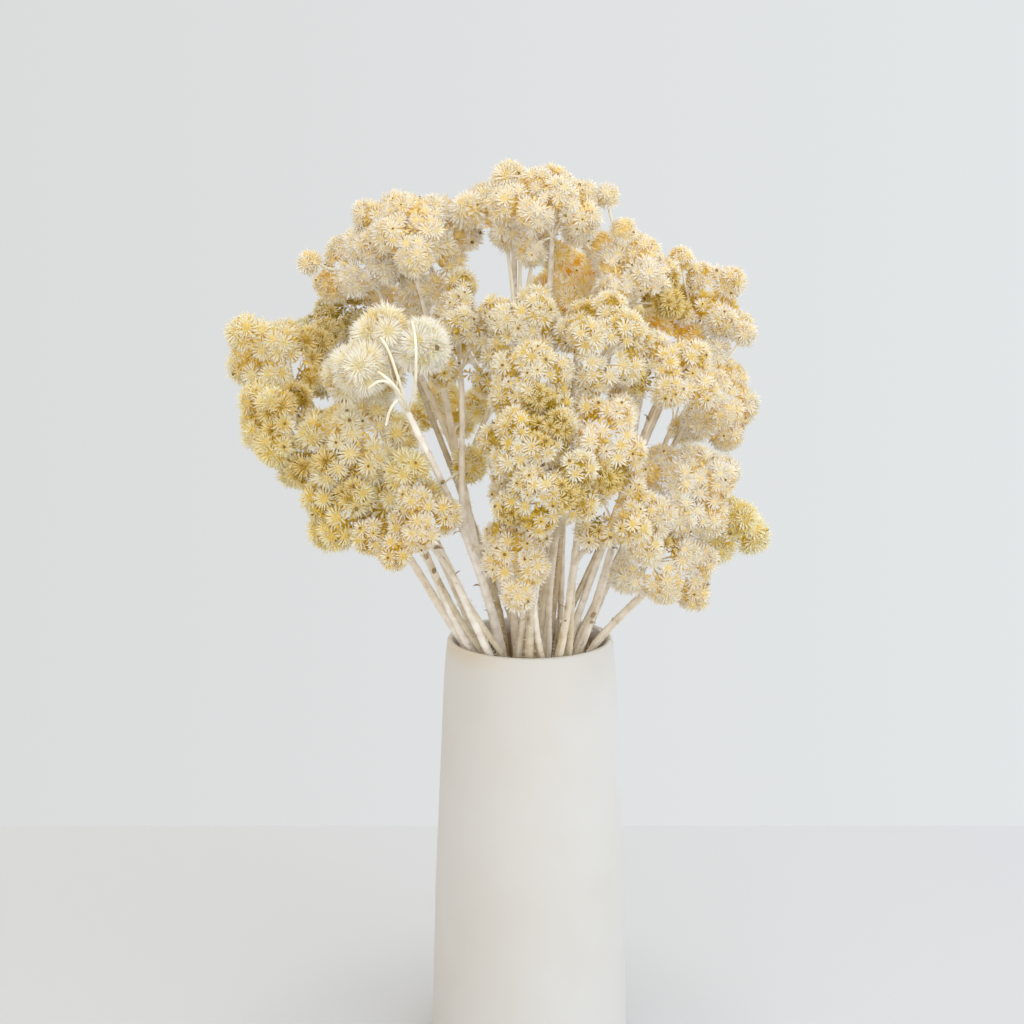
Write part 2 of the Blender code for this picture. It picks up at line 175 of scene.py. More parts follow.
PALENESS_BY_OPENING = (0.10, 0.55)
PALENESS_OF_TINT = 0.34
PALENESS_JITTER = 0.07
EYE_CHANCE = 0.22
EYES_BY_TONE = {"soft": 0.35, "amber": 0.35}
EYE_SHARE = 0.145
EYE_JITTER = (0.8, 1.3)
EYE_HEIGHT = 0.34
SINK_JITTER = (0.85, 1.2)
TINT_JITTER = 0.16
# Cores and fillers take lower tints, nearer the dark gold of the roots: painted shade deep in the heads and
# in the gaps
CORE_TINT = 0.4
FILLER_TINT = 0.3
CUSHION_TINT = (0.35, 0.45)

# Dark specks set deep in the gaps round the fork of a spray
SPECKS = {"left_back": 16, "centre": 7, "centre_top": 5, "back_middle": 8, "back_centre": 8, "right_top": 7,
          "right_amber": 9, "left_yellow": 6, "front_right": 4, "centre_low": 4, "back_upper": 5}
OTHER_SPECKS = 3
BRACTS_A_SPECK = 6
SPECK_LENGTHS = (0.0016, 0.0034)
SPECK_TINTS = (0.0, 0.6)
SPECK_SPREAD = 0.7
SPECK_SINK = 0.0030
CREVICE = 1.10

# Pedicels: their curve, their radius at the ends and how much thinner they are in the middle
FORK_SINK = 0.0010
PEDICEL_POINTS = 9
PEDICEL_LEAVES = 0.75
PEDICEL_ARRIVES = 0.9
PEDICEL_ENDS = 0.00072
PEDICEL_WAIST = 0.00018

# Shares of a head's radius: how far its pedicel goes in, and the cup under it
PEDICEL_ENTERS = 0.30
CUP_LENGTH = 0.50
CUP_WIDTH = 0.16

# Bends, thickness and scraps of the stalks
NECK_BEND = (0.0, 0.2, 0.4, 0.6, 0.8)
FOOT_POINTS = 4
BEND_DEPTH = 0.045
KNEE_DEPTH = 0.020
STALK_SHARE = 0.95
BRANCH_RADIUS = 0.0016
STALK_END_RADIUS = 0.00135
THIN_TAPER = 0.25
TAPER = 1.3
KNOT = 0.06
KNOT_WAVES = 9.0
KNOT_JITTER = 0.05
USUAL_TINTS = (0.55, 1.0)
STALK_TINTS = {5: 0.10, 8: 0.20, 14: 0.30, 12: 0.35}
SCRAPS_A_RUN = (1, 3)
SCRAP_LENGTHS = (0.0025, 0.0060)
LOWEST_SCRAP = 0.004
SCRAP_SEAT = 0.8
SCRAP_ALONG = (0.6, 1.1)
SCRAP_OUT = (0.3, 0.8)

# A thinner stalk that stands beside a main one up to its fork
COMPANION_RADIUS = 0.0016
COMPANION_JITTER = 0.08
COMPANION_EASE = 1.2
COMPANION_AT_FOOT = (0.3, 0.7)
COMPANION_TINT = 1.1

# For each stem that has one, how far aside of the stem it crosses the mouth (mm)
COMPANIONS = {4: (5, 2), 5: (6, 0), 7: (-5, 3), 8: (5, 3), 9: (-6, 2), 12: (5, -3), 13: (-5, -2), 14: (6, 1),
              15: (5, 2), 10: (-4, -5), 18: (5, -3), 17: (6, 1), 2: (5, -4)}

# Scraps over this length face the front, and a bit of leaf costs more to a stalk further back
LARGE_SCRAP = 0.0065
OWN_WAY = 0.8
BACK_COST = 0.12
FRONT_OF_BUNCH = 0.1

# Further thin stalks in plain sight: spray, thickness (mm), then places (mm, height above the lip)
THIN_STALKS = {
    "pale_front": (0.80, [
        [(-58, -82, 130), (-58, -97, 139), (-61, -104, 151), (-64, -103, 160), (-68, -95, 165)],
        [(-58, -94, 137), (-63, -106, 146), (-68, -109, 148), (-73, -107, 144)],
        [(-60, -103, 142), (-64, -108, 148), (-69, -105, 151)],
        [(-57, -82, 129), (-53, -98, 140), (-52, -104, 152), (-52, -103, 165), (-54, -94, 172)],
        [(-61, -97, 137), (-64, -103, 134), (-66, -99, 126)],
    ]),
    "crown_right": (1.15, [
        [(-8, 8, 166), (-10, 8, 185), (-13, 8, 207)],
        [(-6, 9, 166), (-5, 9, 183), (-6, 9, 202)],
        [(-4, 7, 166), (-1, 7, 180), (2, 7, 196)],
    ]),
}

# Larger bits of dried leaf: place across and above the lip, length (mm), paleness
LEAF_BITS = [
    (-56, 44, 11, 0.45), (-49, 37, 10, 0.15), (-50, 58, 9, 0.20), (-50, 90, 10, 0.10), (-21, 32, 9, 0.15),
    (-25, 57, 16, 0.95), (-21, 66, 12, 0.85), (11, 68, 12, 0.30), (10, 62, 13, 0.75), (10, 47, 8, 0.10),
    (27, 59, 8, 0.60), (46, 50, 8, 0.15), (26, 12, 9, 0.50), (34, 14, 10, 0.35), (37, 3, 8, 0.55),
    (3, 76, 9, 0.70), (44, 132, 12, 0.85), (67, 109, 11, 0.25), (85, 105, 9, 0.20), (61, 90, 10, 0.40),
    (-17, 64, 9, 0.30), (-56, 92, 10, 0.15), (-98, 130, 10, 0.30), (-5, 20, 8, 0.60), (15, 25, 7, 0.25),
]

# What the points of a spray stand for
PETAL, CORE, EYE, STALK, SCRAP, CUSHION, DEEP_PETAL = range(7)

# Cores and eyes are coloured as a bract is this far along
CORE_ALONG = 0.22
EYE_ALONG = 0.3

# How a point keeps each value that isn't a vector
POINT_VALUES = {"kind": ("INT", "value", np.int32), "tint": ("FLOAT", "value", np.float32),
                "thick": ("FLOAT", "value", np.float32)}

# Each spray: middle of its heads (mm, height above the lip), heads, head radius (mm), stem, tone
SPRAYS = {
    "far_left": (-128, 8, 140, 6, 9.0, 1, "honey"),
    "left_low": (-122, -25, 114, 5, 8.4, 1, "straw"),
    "left_back": (-101, 42, 149, 6, 8.0, 2, "dusk"),
    "back_left": (-84, 62, 112, 5, 8.0, 2, "cream"),
    "top_left_outer": (-82, 14, 190, 7, 7.8, 3, "soft"),
    "top_left": (-62, -10, 206, 7, 7.6, 3, "soft"),
    "top_left_inner": (-54, 17, 203, 7, 7.8, 4, "soft"),
    "crown_left": (-9, 15, 216, 7, 7.8, 4, "soft"),
    "back_upper": (-70, 54, 160, 6, 7.8, 5, "soft"),
    "back_middle": (-20, 92, 140, 5, 7.8, 5, "cream"),
    "back_low_left": (-48, 96, 98, 4, 7.8, 5, "straw"),
    "pale_front": (-71, -75, 155, 7, 9.4, 6, "pale"),
    "left_centre": (-36, -25, 158, 7, 8.0, 6, "gold"),
    "crown_right": (11, -8, 219, 7, 8.0, 7, "soft"),
    "upper_right": (51, 0, 183, 7, 7.8, 7, "soft"),
    "amber_back": (29, 35, 177, 7, 8.2, 8, "amber"),
    "back_right": (46, 78, 150, 6, 7.8, 8, "straw"),
    "right_top": (89, 24, 162, 7, 7.4, 9, "cream"),
    "right_amber": (68, 20, 158, 4, 7.4, 9, "amber"),
    "right_side": (90, 5, 128, 7, 7.6, 10, "soft"),
    "right_back": (82, 56, 114, 4, 7.8, 10, "cream"),
    "right_front": (66, -45, 141, 7, 7.6, 11, "cream"),
    "right_low": (76, -45, 85, 8, 8.2, 11, "soft"),
    "centre_right": (34, -60, 159, 8, 8.0, 12, "gold"),
    "centre_top": (-3, -45, 163, 7, 7.6, 12, "gold"),
    "centre": (-3, -80, 141, 7, 7.6, 13, "gold"),
    "centre_mid": (-1, -95, 118, 7, 7.6, 13, "gold"),
    "centre_low": (6, -105, 99, 7, 7.6, 14, "gold"),
    "front_lowest": (-8, -98, 64, 6, 7.8, 14, "cream"),
    "front_right": (30, -85, 119, 7, 7.8, 15, "cream"),
    "front_right_low": (42, -84, 83, 7, 7.8, 15, "cream"),
    "right_lowest": (63, -60, 60, 7, 8.2, 16, "soft"),
    "far_right": (98, -12, 60, 1, 8.6, 16, "straw"),
    "left_front": (-59, -70, 90, 5, 8.0, 17, "straw"),
    "left_front_low": (-55, -85, 78, 5, 7.8, 17, "cream"),
    "left_mid": (-78, -58, 111, 6, 8.4, 18, "honey"),
    "left_yellow": (-102, -35, 102, 7, 8.0, 18, "straw"),
    "left_lowest": (-84, -62, 88, 5, 8.0, 18, "straw"),
    "back_centre": (14, 104, 100, 5, 7.8, 19, "cream"),
    "back_low_right": (40, 92, 68, 5, 7.8, 19, "cream"),
}

# Heads that stand away from their spray on a longer pedicel: spray, place (mm), radius (mm)
STRAYS = [
    ("upper_right", (36, 0, 222), 6.4),
    ("upper_right", (45, -2, 206), 6.8),
    ("upper_right", (31, 6, 197), 7.6),
    ("upper_right", (22, 4, 203), 7.6),
    ("amber_back", (12, 14, 193), 7.6),
    ("amber_back", (16, 10, 173), 7.6),
    ("crown_left", (-26, 6, 216), 7.8),
    ("crown_left", (8, 0, 204), 7.6),
    ("crown_right", (-1, -6, 197), 7.6),
    ("top_left_outer", (-108, 0, 190), 6.6),
    ("top_left_outer", (-83, 10, 197), 7.6),
    ("top_left_outer", (-73, 15, 181), 7.6),
    ("top_left", (-78, 4, 208), 7.4),
    ("top_left_inner", (-43, 8, 190), 7.6),
    ("top_left_inner", (-49, 6, 179), 7.6),
    ("top_left_inner", (-61, 10, 181), 7.4),
    ("back_upper", (-88, 40, 170), 7.8),
    ("back_upper", (-60, 25, 160), 7.8),
    ("left_back", (-106, 15, 128), 7.8),
    ("left_back", (-94, 18, 123), 7.8),
    ("left_back", (-90, 5, 133), 7.4),
    ("far_left", (-136, 0, 153), 8.2),
    ("far_left", (-113, 4, 135), 8.0),
    ("left_low", (-131, -14, 126), 7.8),
    ("left_centre", (-41, -36, 142), 7.6),
    ("left_centre", (-21, -39, 138), 7.4),
    ("left_centre", (-35, -12, 179), 7.6),
    ("left_lowest", (-97, -60, 70), 7.8),
    ("left_front_low", (-72, -80, 74), 8.0),
    ("left_front", (-30, -32, 95), 7.8),
    ("right_side", (106, 0, 155), 6.4),
    ("right_side", (90, 8, 147), 7.4),
    ("right_side", (98, 0, 104), 7.6),
    ("right_side", (87, -4, 113), 7.6),
    ("front_right", (45, -34, 130), 7.6),
    ("right_top", (74, 15, 190), 7.0),
    ("right_top", (97, 20, 179), 7.4),
    ("right_top", (88, 20, 176), 7.4),
    ("right_back", (80, 34, 101), 7.6),
    ("right_lowest", (78, -52, 37), 8.4),
    ("back_low_left", (-29, 88, 104), 7.6),
    ("right_low", (88, -40, 87), 7.8),
    ("far_right", (108, -12, 57), 8.6),
    ("far_right", (98, -22, 68), 8.2),
    ("far_right", (89, -24, 75), 8.0),
    ("far_right", (92, -20, 54), 8.0),
    ("centre_mid", (-17, -88, 102), 7.6),
    ("front_lowest", (-14, -92, 84), 7.6),
    ("front_lowest", (-17, -82, 92), 7.4),
]

# Colours of a bract from its root to its tip, linear. The roots are its ochre base, made darker and more
# yellow to paint the shade deep among the bracts; the soft tone has paler roots and dimmer tips, painting a
# flatter light on its sprays; the darkest tone is a shaded copy that paints the shade on the back left spray.
TONES = {
    "cream": ((0.76, 0.510, 0.025), (0.94, 0.77, 0.210), (0.94, 0.870, 0.61), (0.92, 0.88, 0.80)),
    "soft": ((0.95, 0.710, 0.180), (0.96, 0.81, 0.350), (0.93, 0.845, 0.60), (0.87, 0.83, 0.74)),
    "honey": ((0.84, 0.600, 0.075), (0.95, 0.79, 0.240), (0.94, 0.860, 0.52), (0.91, 0.88, 0.73)),
    "gold": ((0.64, 0.430, 0.012), (0.92, 0.72, 0.120), (0.93, 0.840, 0.52), (0.91, 0.88, 0.78)),
    "pale": ((0.90, 0.720, 0.200), (0.95, 0.87, 0.520), (0.95, 0.910, 0.74), (0.93, 0.91, 0.85)),
    "straw": ((0.72, 0.500, 0.018), (0.94, 0.75, 0.130), (0.94, 0.840, 0.42), (0.91, 0.87, 0.66)),
    "amber": ((0.95, 0.600, 0.020), (0.97, 0.77, 0.120), (0.96, 0.860, 0.42), (0.95, 0.90, 0.72)),
    "dusk": ((0.44, 0.310, 0.015), (0.67, 0.53, 0.100), (0.80, 0.710, 0.36), (0.85, 0.80, 0.60)),
}

# Share of the light that goes through the bracts
USUAL_LET_THROUGH = 0.60
LET_THROUGH = {"soft": 0.48, "amber": 0.66}

# Darker colours of a bract in the golden hollows, root to tip: painted shade in the hollows
SHADED_GOLD = ((0.35, 0.200, 0.006), (0.65, 0.42, 0.030), (0.85, 0.66, 0.160), (0.89, 0.78, 0.41))

# Golden hollows among the heads, where daisies sit deeper and take darker bracts that paint the shade there:
# place across, height above the lip, radius (mm)
HOLLOWS = [
    (-106, 148, 9), (73, 170, 9), (63, 171, 8), (38, 102, 8), (19, 98, 8), (-98, 139, 8),
    (-97, 105, 7), (-112, 128, 8), (53, 140, 7), (-102, 157, 7), (-10, 83, 7), (-87, 166, 7), (8, 126, 8),
    (-88, 93, 7), (74, 181, 7), (3, 137, 7), (31, 80, 6), (-108, 95, 7), (-126, 119, 7), (64, 66, 6),
    (-97, 122, 7),
]
HOLLOW_SINK = 0.0011
HOLLOW_REACH = 0.96
HOLLOW_CORE = 0.82

# Lint on the stalks (m, then the turn of each strand in radians)
LINT_LENGTHS = (0.0007, 0.0023)
LINT_TURNS = ((-0.9, -0.9, 0.0), (0.9, 0.9, 6.3))

# Stage and camera
TABLE_HALF_WIDTH = 2.5
TABLE_FRONT = -3.0
TABLE_BACK = 0.2995
LENS = 75.0
SENSOR_WIDTH = 36.0
CAMERA_PLACE = (-0.0092, -1.0488, 0.5007)
CAMERA_TILT = 78
BUNCH_MIDDLE = (0.0, 0.0, 0.385)
LAMP_CONE = 17.0
LAMP_SOFTNESS = 0.22


# Layout of the bunch, as in the solids
class Spray:
    """Where a spray stands, which way it faces and what it carries."""

    number = 0

    def __init__(self, name, row):
        x, y, above_lip, self.count, radius, self.stem, self.tone = row
        middle = Vector((x, y, above_lip)) * MM
        lean = OWN_LEANS.get(name, LEAN_FORWARD if middle.y < BACK_STARTS else LEAN_BACK)
        outward = (middle + UP * FOCUS_DEPTH).normalized()
        self.name = name
        self.radius = radius * MM
        self.middle = middle + UP * VASE_HEIGHT
        self.axis = (outward + lean).normalized()
        self.side = self.axis.cross(UP).normalized()
        self.upper = self.side.cross(self.axis)
        self.hub = self.middle - self.axis * CROWN_SHARE * REACH
        self.seat = self.hub - self.axis * (HUB_DEPTH / 2 + STEM_END_GAP)


def start_heads(sprays):
    """Heads at the golden angle over a cap round each hub, before they are pushed apart."""
    centres = []
    radii = []
    owners = []
    for index, spray in enumerate(sprays):
        covered = spray.count * (2 * spray.radius) ** 2 * PACKING / (2 * math.pi * REACH ** 2)
        widest = math.acos(1 - min(WIDEST_CAP, covered))
        rng = random.Random(SEED + index)
        first = rng.uniform(0, 2 * math.pi)
        for i in range(spray.count):
            tilt = widest * math.sqrt((i + SPIRAL_START) / spray.count)
            angle = first + GOLDEN_ANGLE * i
            outward = spray.side * math.cos(angle) + spray.upper * math.sin(angle)
            direction = spray.axis * math.cos(tilt) + outward * math.sin(tilt)
            reach = REACH + rng.uniform(-REACH_JITTER, REACH_JITTER)
            centres.append(spray.hub + direction * reach)
            radii.append(spray.radius * rng.uniform(*SIZE_JITTER))
            owners.append(index)
    names = [spray.name for spray in sprays]
    for name, place, radius in STRAYS:
        centres.append(Vector(place) * MM + UP * VASE_HEIGHT)
        radii.append(radius * MM)
        owners.append(names.index(name))
    return np.array(centres), np.array(radii), np.array(owners)


def places_in_mouth(sprays, stems):
    """Where each stem crosses the mouth: under the sprays it carries, and clear of the others."""
    wanted = []
    for stem in stems:
        leans = [s.middle.xy / (s.middle.z - VASE_HEIGHT + FOCUS_DEPTH) for s in sprays if s.stem == stem]
        wanted.append(sum(leans, Vector((0.0, 0.0))) / len(leans) * STEM_SPREAD_AT_MOUTH)
    places = np.array(wanted)
    for _ in range(MOUTH_ROUNDS):
        apart = places[:, None] - places[None]
        distance = np.linalg.norm(apart, axis=2) + np.eye(len(places))
        push = np.clip(STEM_SPACING - distance, 0, None) / distance
        places = places + (push[..., None] * apart).sum(axis=1) * MOUTH_PUSH
        out = np.linalg.norm(places, axis=1, keepdims=True)
        places = places * np.minimum(1, STEM_REACH_AT_MOUTH / out)
    return [Vector((x, y, VASE_HEIGHT)) for x, y in places]


def smooth_run(start, start_way, end, end_way, count):
    """Points on one smooth curve that leaves along start_way and arrives along end_way."""
    length = (end - start).length
    points = []
    for i in range(count):
        t = i / (count - 1)
        point = start * (2 * t ** 3 - 3 * t ** 2 + 1) + end * (3 * t ** 2 - 2 * t ** 3)
        point += start_way * length * (t ** 3 - 2 * t ** 2 + t)
        point += end_way * length * (t ** 3 - t ** 2)
        points.append(point)
    return points


def stem_courses(sprays, upright):
    """For each stem: place and lean in the mouth, sprays, points above and way at the fork."""
    stems = sorted({spray.stem for spray in sprays})
    for stem, mouth in zip(stems, places_in_mouth(sprays, stems)):
        mine = sorted((s for s in sprays if s.stem == stem), key=lambda s: -(s.hub - mouth).length)
        seats = sum((s.seat for s in mine), Vector()) / len(mine)
        lean = (UP * upright + (seats - mouth).normalized()).normalized()
        above = smooth_run(mouth, lean, mine[0].seat, mine[0].axis, POINTS_ABOVE)
        onward = (above[FORK_POINT + 1] - above[FORK_POINT - 1]).normalized()
        yield stem, mouth, lean, mine, above, onward


def side_branches(mine, above, onward, count):
    """The run from a stem's fork to each of its sprays but the furthest."""
    return [smooth_run(above[FORK_POINT], onward, spray.seat, spray.axis, count) for spray in mine[1:]]


def stem_runs(sprays):
    """For each stem, the points of its main run and of each side branch, as in the solids."""
    runs = {}
    for stem, mouth, lean, mine, above, onward in stem_courses(sprays, UPRIGHT_AT_MOUTH):
        foot = Vector((mouth.x * FOOT_SHARE, mouth.y * FOOT_SHARE, VASE_FLOOR + SEAT_GAP))
        inside = smooth_run(foot, UP, mouth, lean, POINTS_IN_VASE)
        runs[stem] = [inside + above[1:]] + side_branches(mine, above, onward, BRANCH_POINTS)
    return runs


def fine_runs(sprays):
    """The runs in view: above the mouth, with many more points, and leaning out sooner than the solids."""
    runs = {}
    for stem, mouth, lean, mine, above, onward in stem_courses(sprays, FINE_UPRIGHT):
        main_run = smooth_run(mouth, lean, mine[0].seat, mine[0].axis, FINE_POINTS)
        runs[stem] = [main_run] + side_branches(mine, above, onward, BRANCH_FINE_POINTS)
    return runs


def nearest_on(points, starts, ends):
    """For each pair, the place on the segment nearest the point, and its share of the segment."""
    along = ends - starts
    length_squared = np.maximum((along * along).sum(axis=1), NEGLIGIBLE ** 2)
    share = np.clip(((points - starts) * along).sum(axis=1) / length_squared, 0, 1)[:, None]
    return starts + along * share, share


def push_from(points, places, clear):
    """The move that takes each point to its clear distance from its place."""
    apart = points - places
    distance = np.maximum(np.linalg.norm(apart, axis=1, keepdims=True), NEGLIGIBLE)
    return apart / distance * np.clip(clear[:, None] - distance, 0, None)


def pedicel_feet(centres, hubs, axes):
    """Where each pedicel is rooted: just under the top of its hub, on its head's side of it."""
    offset = centres - hubs
    sideways = offset - (offset * axes).sum(axis=1, keepdims=True) * axes
    length = np.linalg.norm(sideways, axis=1, keepdims=True)
    share = np.minimum(FOOT_SPREAD, FOOT_LIMIT / np.maximum(length, NEGLIGIBLE))
    return hubs + axes * (HUB_DEPTH / 2 - FOOT_SINK) + sideways * share


def settle_heads(sprays, runs):
    """Push the heads apart, off the stems, and off the pedicels and hubs of other heads."""
    centres, radii, owners = start_heads(sprays)
    home = centres.copy()
    hubs = np.array([spray.hub for spray in sprays])
    axes = np.array([spray.axis for spray in sprays])[owners]
    own_hub = hubs[owners]
    segments = [pair for parts in runs.values() for run in parts for pair in zip(run[:-1], run[1:])]
    starts = np.array([a for a, b in segments])
    ends = np.array([b for a, b in segments])
    for step in range(SETTLE_STEPS):
        feet = pedicel_feet(centres, own_hub, axes)
        if step % RELIST_EVERY == 0:
            gap = np.linalg.norm(centres[:, None] - centres[None], axis=2)
            one, two = np.nonzero(np.triu(gap < NEAR, 1))
            middles = (starts + ends) / 2
            halves = np.linalg.norm(ends - starts, axis=1) / 2
            gap = np.linalg.norm(centres[:, None] - middles[None], axis=2) - halves[None]
            head, segment = np.nonzero(gap < NEAR / 2)
            gap = np.linalg.norm(centres[:, None] - (centres + feet)[None] / 2, axis=2)
            by, pedicel = np.nonzero((gap < NEAR) & ~np.eye(len(radii), dtype=bool))
            gap = np.linalg.norm(centres[:, None] - hubs[None], axis=2)
            over, hub = np.nonzero(gap < NEAR)
        move = (home - centres) * HOME_PULL
        push = push_from(centres[one], centres[two], radii[one] + radii[two] + HEAD_GAP) * HEAD_PUSH
        np.add.at(move, one, push)
        np.add.at(move, two, -push)
        place, share = nearest_on(centres[by], feet[pedicel], centres[pedicel])
        clear = np.where(owners[by] == owners[pedicel], radii[by] + PEDICEL_RADIUS,
                         radii[by] + PEDICEL_RADIUS + PEDICEL_GAP)
        push = push_from(centres[by], place, clear) * PEDICEL_PUSH
        np.add.at(move, by, push)
        np.add.at(move, pedicel, -push * share * PEDICEL_YIELD)
        place, share = nearest_on(centres[head], starts[segment], ends[segment])
        push = push_from(centres[head], place, radii[head] + STEM_RADIUS + STEM_GAP)
        np.add.at(move, head, push * STEM_PUSH)
        push = push_from(centres[over], hubs[hub], radii[over] + HUB_TOP_RADIUS + STEM_GAP)
        np.add.at(move, over, push * STEM_PUSH)
        centres = centres + np.clip(move, -STEP_LIMIT, STEP_LIMIT)
    return centres, pedicel_feet(centres, own_hub, axes), radii, owners


# Node trees
class Wiring:
    """A node tree being wired up: add() makes a node, sets it and joins its inputs."""

    def __init__(self, tree):
        self.tree = tree

    def feed(self, socket, value):
        """Joins the socket to another node's output, or sets its own value."""
        if isinstance(value, bpy.types.NodeSocket):
            self.tree.links.new(value, socket)
        else:
            socket.default_value = value

    def add(self, kind, inputs=None, **settings):
        node = self.tree.nodes.new(kind)
        for name, value in settings.items():
            setattr(node, name, value)
        for name, value in (inputs or {}).items():
            self.feed(node.inputs[name], value)
        return node

    def math(self, operation, *values, clamp=False):
        node = self.add("ShaderNodeMath", operation=operation, use_clamp=clamp)
        for socket, value in zip(node.inputs, values):
            self.feed(socket, value)
        return node.outputs[0]

    def product(self, first, *others):
        for value in others:
            first = self.math("MULTIPLY", first, value)
        return first

    def split(self, vector):
        """The X, Y and Z of a vector."""
        return self.add("ShaderNodeSeparateXYZ", {"Vector": vector}).outputs

    def attribute(self, name, kind="FLOAT"):
        node = self.add("GeometryNodeInputNamedAttribute", {"Name": name}, data_type=kind)
        return node.outputs["Attribute"]

    def noted(self, geometry, name, value):
        """The geometry with a number kept on each of its points."""
        return self.add("GeometryNodeStoreNamedAttribute", {
            "Geometry": geometry, "Name": name, "Value": value}, data_type="FLOAT", domain="POINT").outputs[0]

    def painted(self, geometry, material):
        return self.add("GeometryNodeSetMaterial", {"Geometry": geometry, "Material": material}).outputs[0]

    def join(self, parts):
        node = self.add("GeometryNodeJoinGeometry")
        for part in parts:
            self.tree.links.new(part, node.inputs[0])
        return node.outputs[0]


def geometry_tree(name, inputs):
    """An empty Geometry Nodes tree with named inputs: name, socket kind and default for each."""
    tree = bpy.data.node_groups.new(name, "GeometryNodeTree")
    tree.interface.new_socket("Geometry", in_out="INPUT", socket_type="NodeSocketGeometry")
    for label, kind, value in inputs:
        socket = tree.interface.new_socket(label, in_out="INPUT", socket_type=kind)
        if value is not None:
            socket.default_value = value
    tree.interface.new_socket("Geometry", in_out="OUTPUT", socket_type="NodeSocketGeometry")
    wiring = Wiring(tree)
    return tree, wiring, wiring.add("NodeGroupInput").outputs, wiring.add("NodeGroupOutput")


def instanced(wiring, points, kind, shape, material):
    """The shape set on every point of one kind, turned to its aim and scaled to its size."""
    chosen = wiring.add("FunctionNodeCompare", data_type="INT", operation="EQUAL")
    wiring.tree.links.new(wiring.attribute("kind", "INT"), chosen.inputs[2])
    chosen.inputs[3].default_value = kind
    turned = wiring.add("FunctionNodeAxesToRotation", {
        "Primary Axis": wiring.attribute("aim", "FLOAT_VECTOR"),
        "Secondary Axis": wiring.attribute("away", "FLOAT_VECTOR")}, primary_axis="Z", secondary_axis="Y")
    placed = wiring.add("GeometryNodeInstanceOnPoints", {
        "Points": points, "Selection": chosen.outputs[0], "Instance": shape,
        "Rotation": turned.outputs[0], "Scale": wiring.attribute("size", "FLOAT_VECTOR")})
    solid = wiring.add("GeometryNodeRealizeInstances", {"Geometry": placed.outputs[0]})
    return wiring.painted(solid.outputs[0], material)


def cone(wiring, sides, rows):
    """A cone one unit high, and where its points are."""
    made = wiring.add("GeometryNodeMeshCone", {
        "Vertices": sides, "Side Segments": rows, "Radius Top": 0.0, "Radius Bottom": 1.0, "Depth": 1.0})
    return made.outputs[0], wiring.split(wiring.add("GeometryNodeInputPosition").outputs[0])


def reshaped(wiring, shape, across_it, deep, high, along):
    """The shape with its points moved, each keeping how far along it lies."""
    kept = wiring.noted(shape, "along", along)
    spot = wiring.add("ShaderNodeCombineXYZ", {"X": across_it, "Y": deep, "Z": high})
    return wiring.add("GeometryNodeSetPosition", {"Geometry": kept, "Position": spot.outputs[0]}).outputs[0]


def blade(wiring, sides, rows, width, thickness, fullness, bend, curl):
    """A pointed blade one unit long: flattened, fuller in its lower half and bent towards +Y."""
    shape, place = cone(wiring, sides, rows)
    along = place["Z"]
    full = wiring.math("MULTIPLY_ADD", along, fullness, 0.5)
    through = wiring.product(place["Y"], full, thickness)
    deep = wiring.math("ADD", through, wiring.product(wiring.math("POWER", along, 2.0), bend))
    high = wiring.math("SUBTRACT", along, wiring.product(wiring.math("POWER", along, 3.0), curl))
    return reshaped(wiring, shape, wiring.product(place["X"], full, width), deep, high, along)


def kite_petal(wiring, widest, thickness, bend):
    """A closed four-sided petal one unit long: pointed at root and tip, widest above its middle."""
    shape, place = cone(wiring, 3, 1)
    base = wiring.math("SUBTRACT", 1.0, place["Z"])
    shoulder = wiring.product(wiring.math("SUBTRACT", 1.0, place["X"]), 2 / 3, base)
    along = wiring.math("MULTIPLY_ADD", shoulder, widest, place["Z"])
    deep = wiring.math("ADD", wiring.product(shoulder, thickness), wiring.product(along, along, bend))
    return reshaped(wiring, shape, wiring.product(place["Y"], 2 / math.sqrt(3)), deep, along, along)


def tubes(wiring, lines, sides, material):
    """A closed tube along each line, as thick as its points say."""
    runs = wiring.add("GeometryNodeMeshToCurve", {"Mesh": lines})
    ring = wiring.add("GeometryNodeCurvePrimitiveCircle", {"Resolution": sides, "Radius": 1.0}, mode="RADIUS")
    grain = wiring.add("FunctionNodeRandomValue", {"Seed": SEED}, data_type="FLOAT")
    tube = wiring.add("GeometryNodeCurveToMesh", {
        "Curve": runs.outputs[0], "Profile Curve": wiring.noted(ring.outputs[0], "grain", grain.outputs[1]),
        "Fill Caps": True, "Scale": wiring.attribute("thick")})
    return wiring.painted(tube.outputs[0], material)


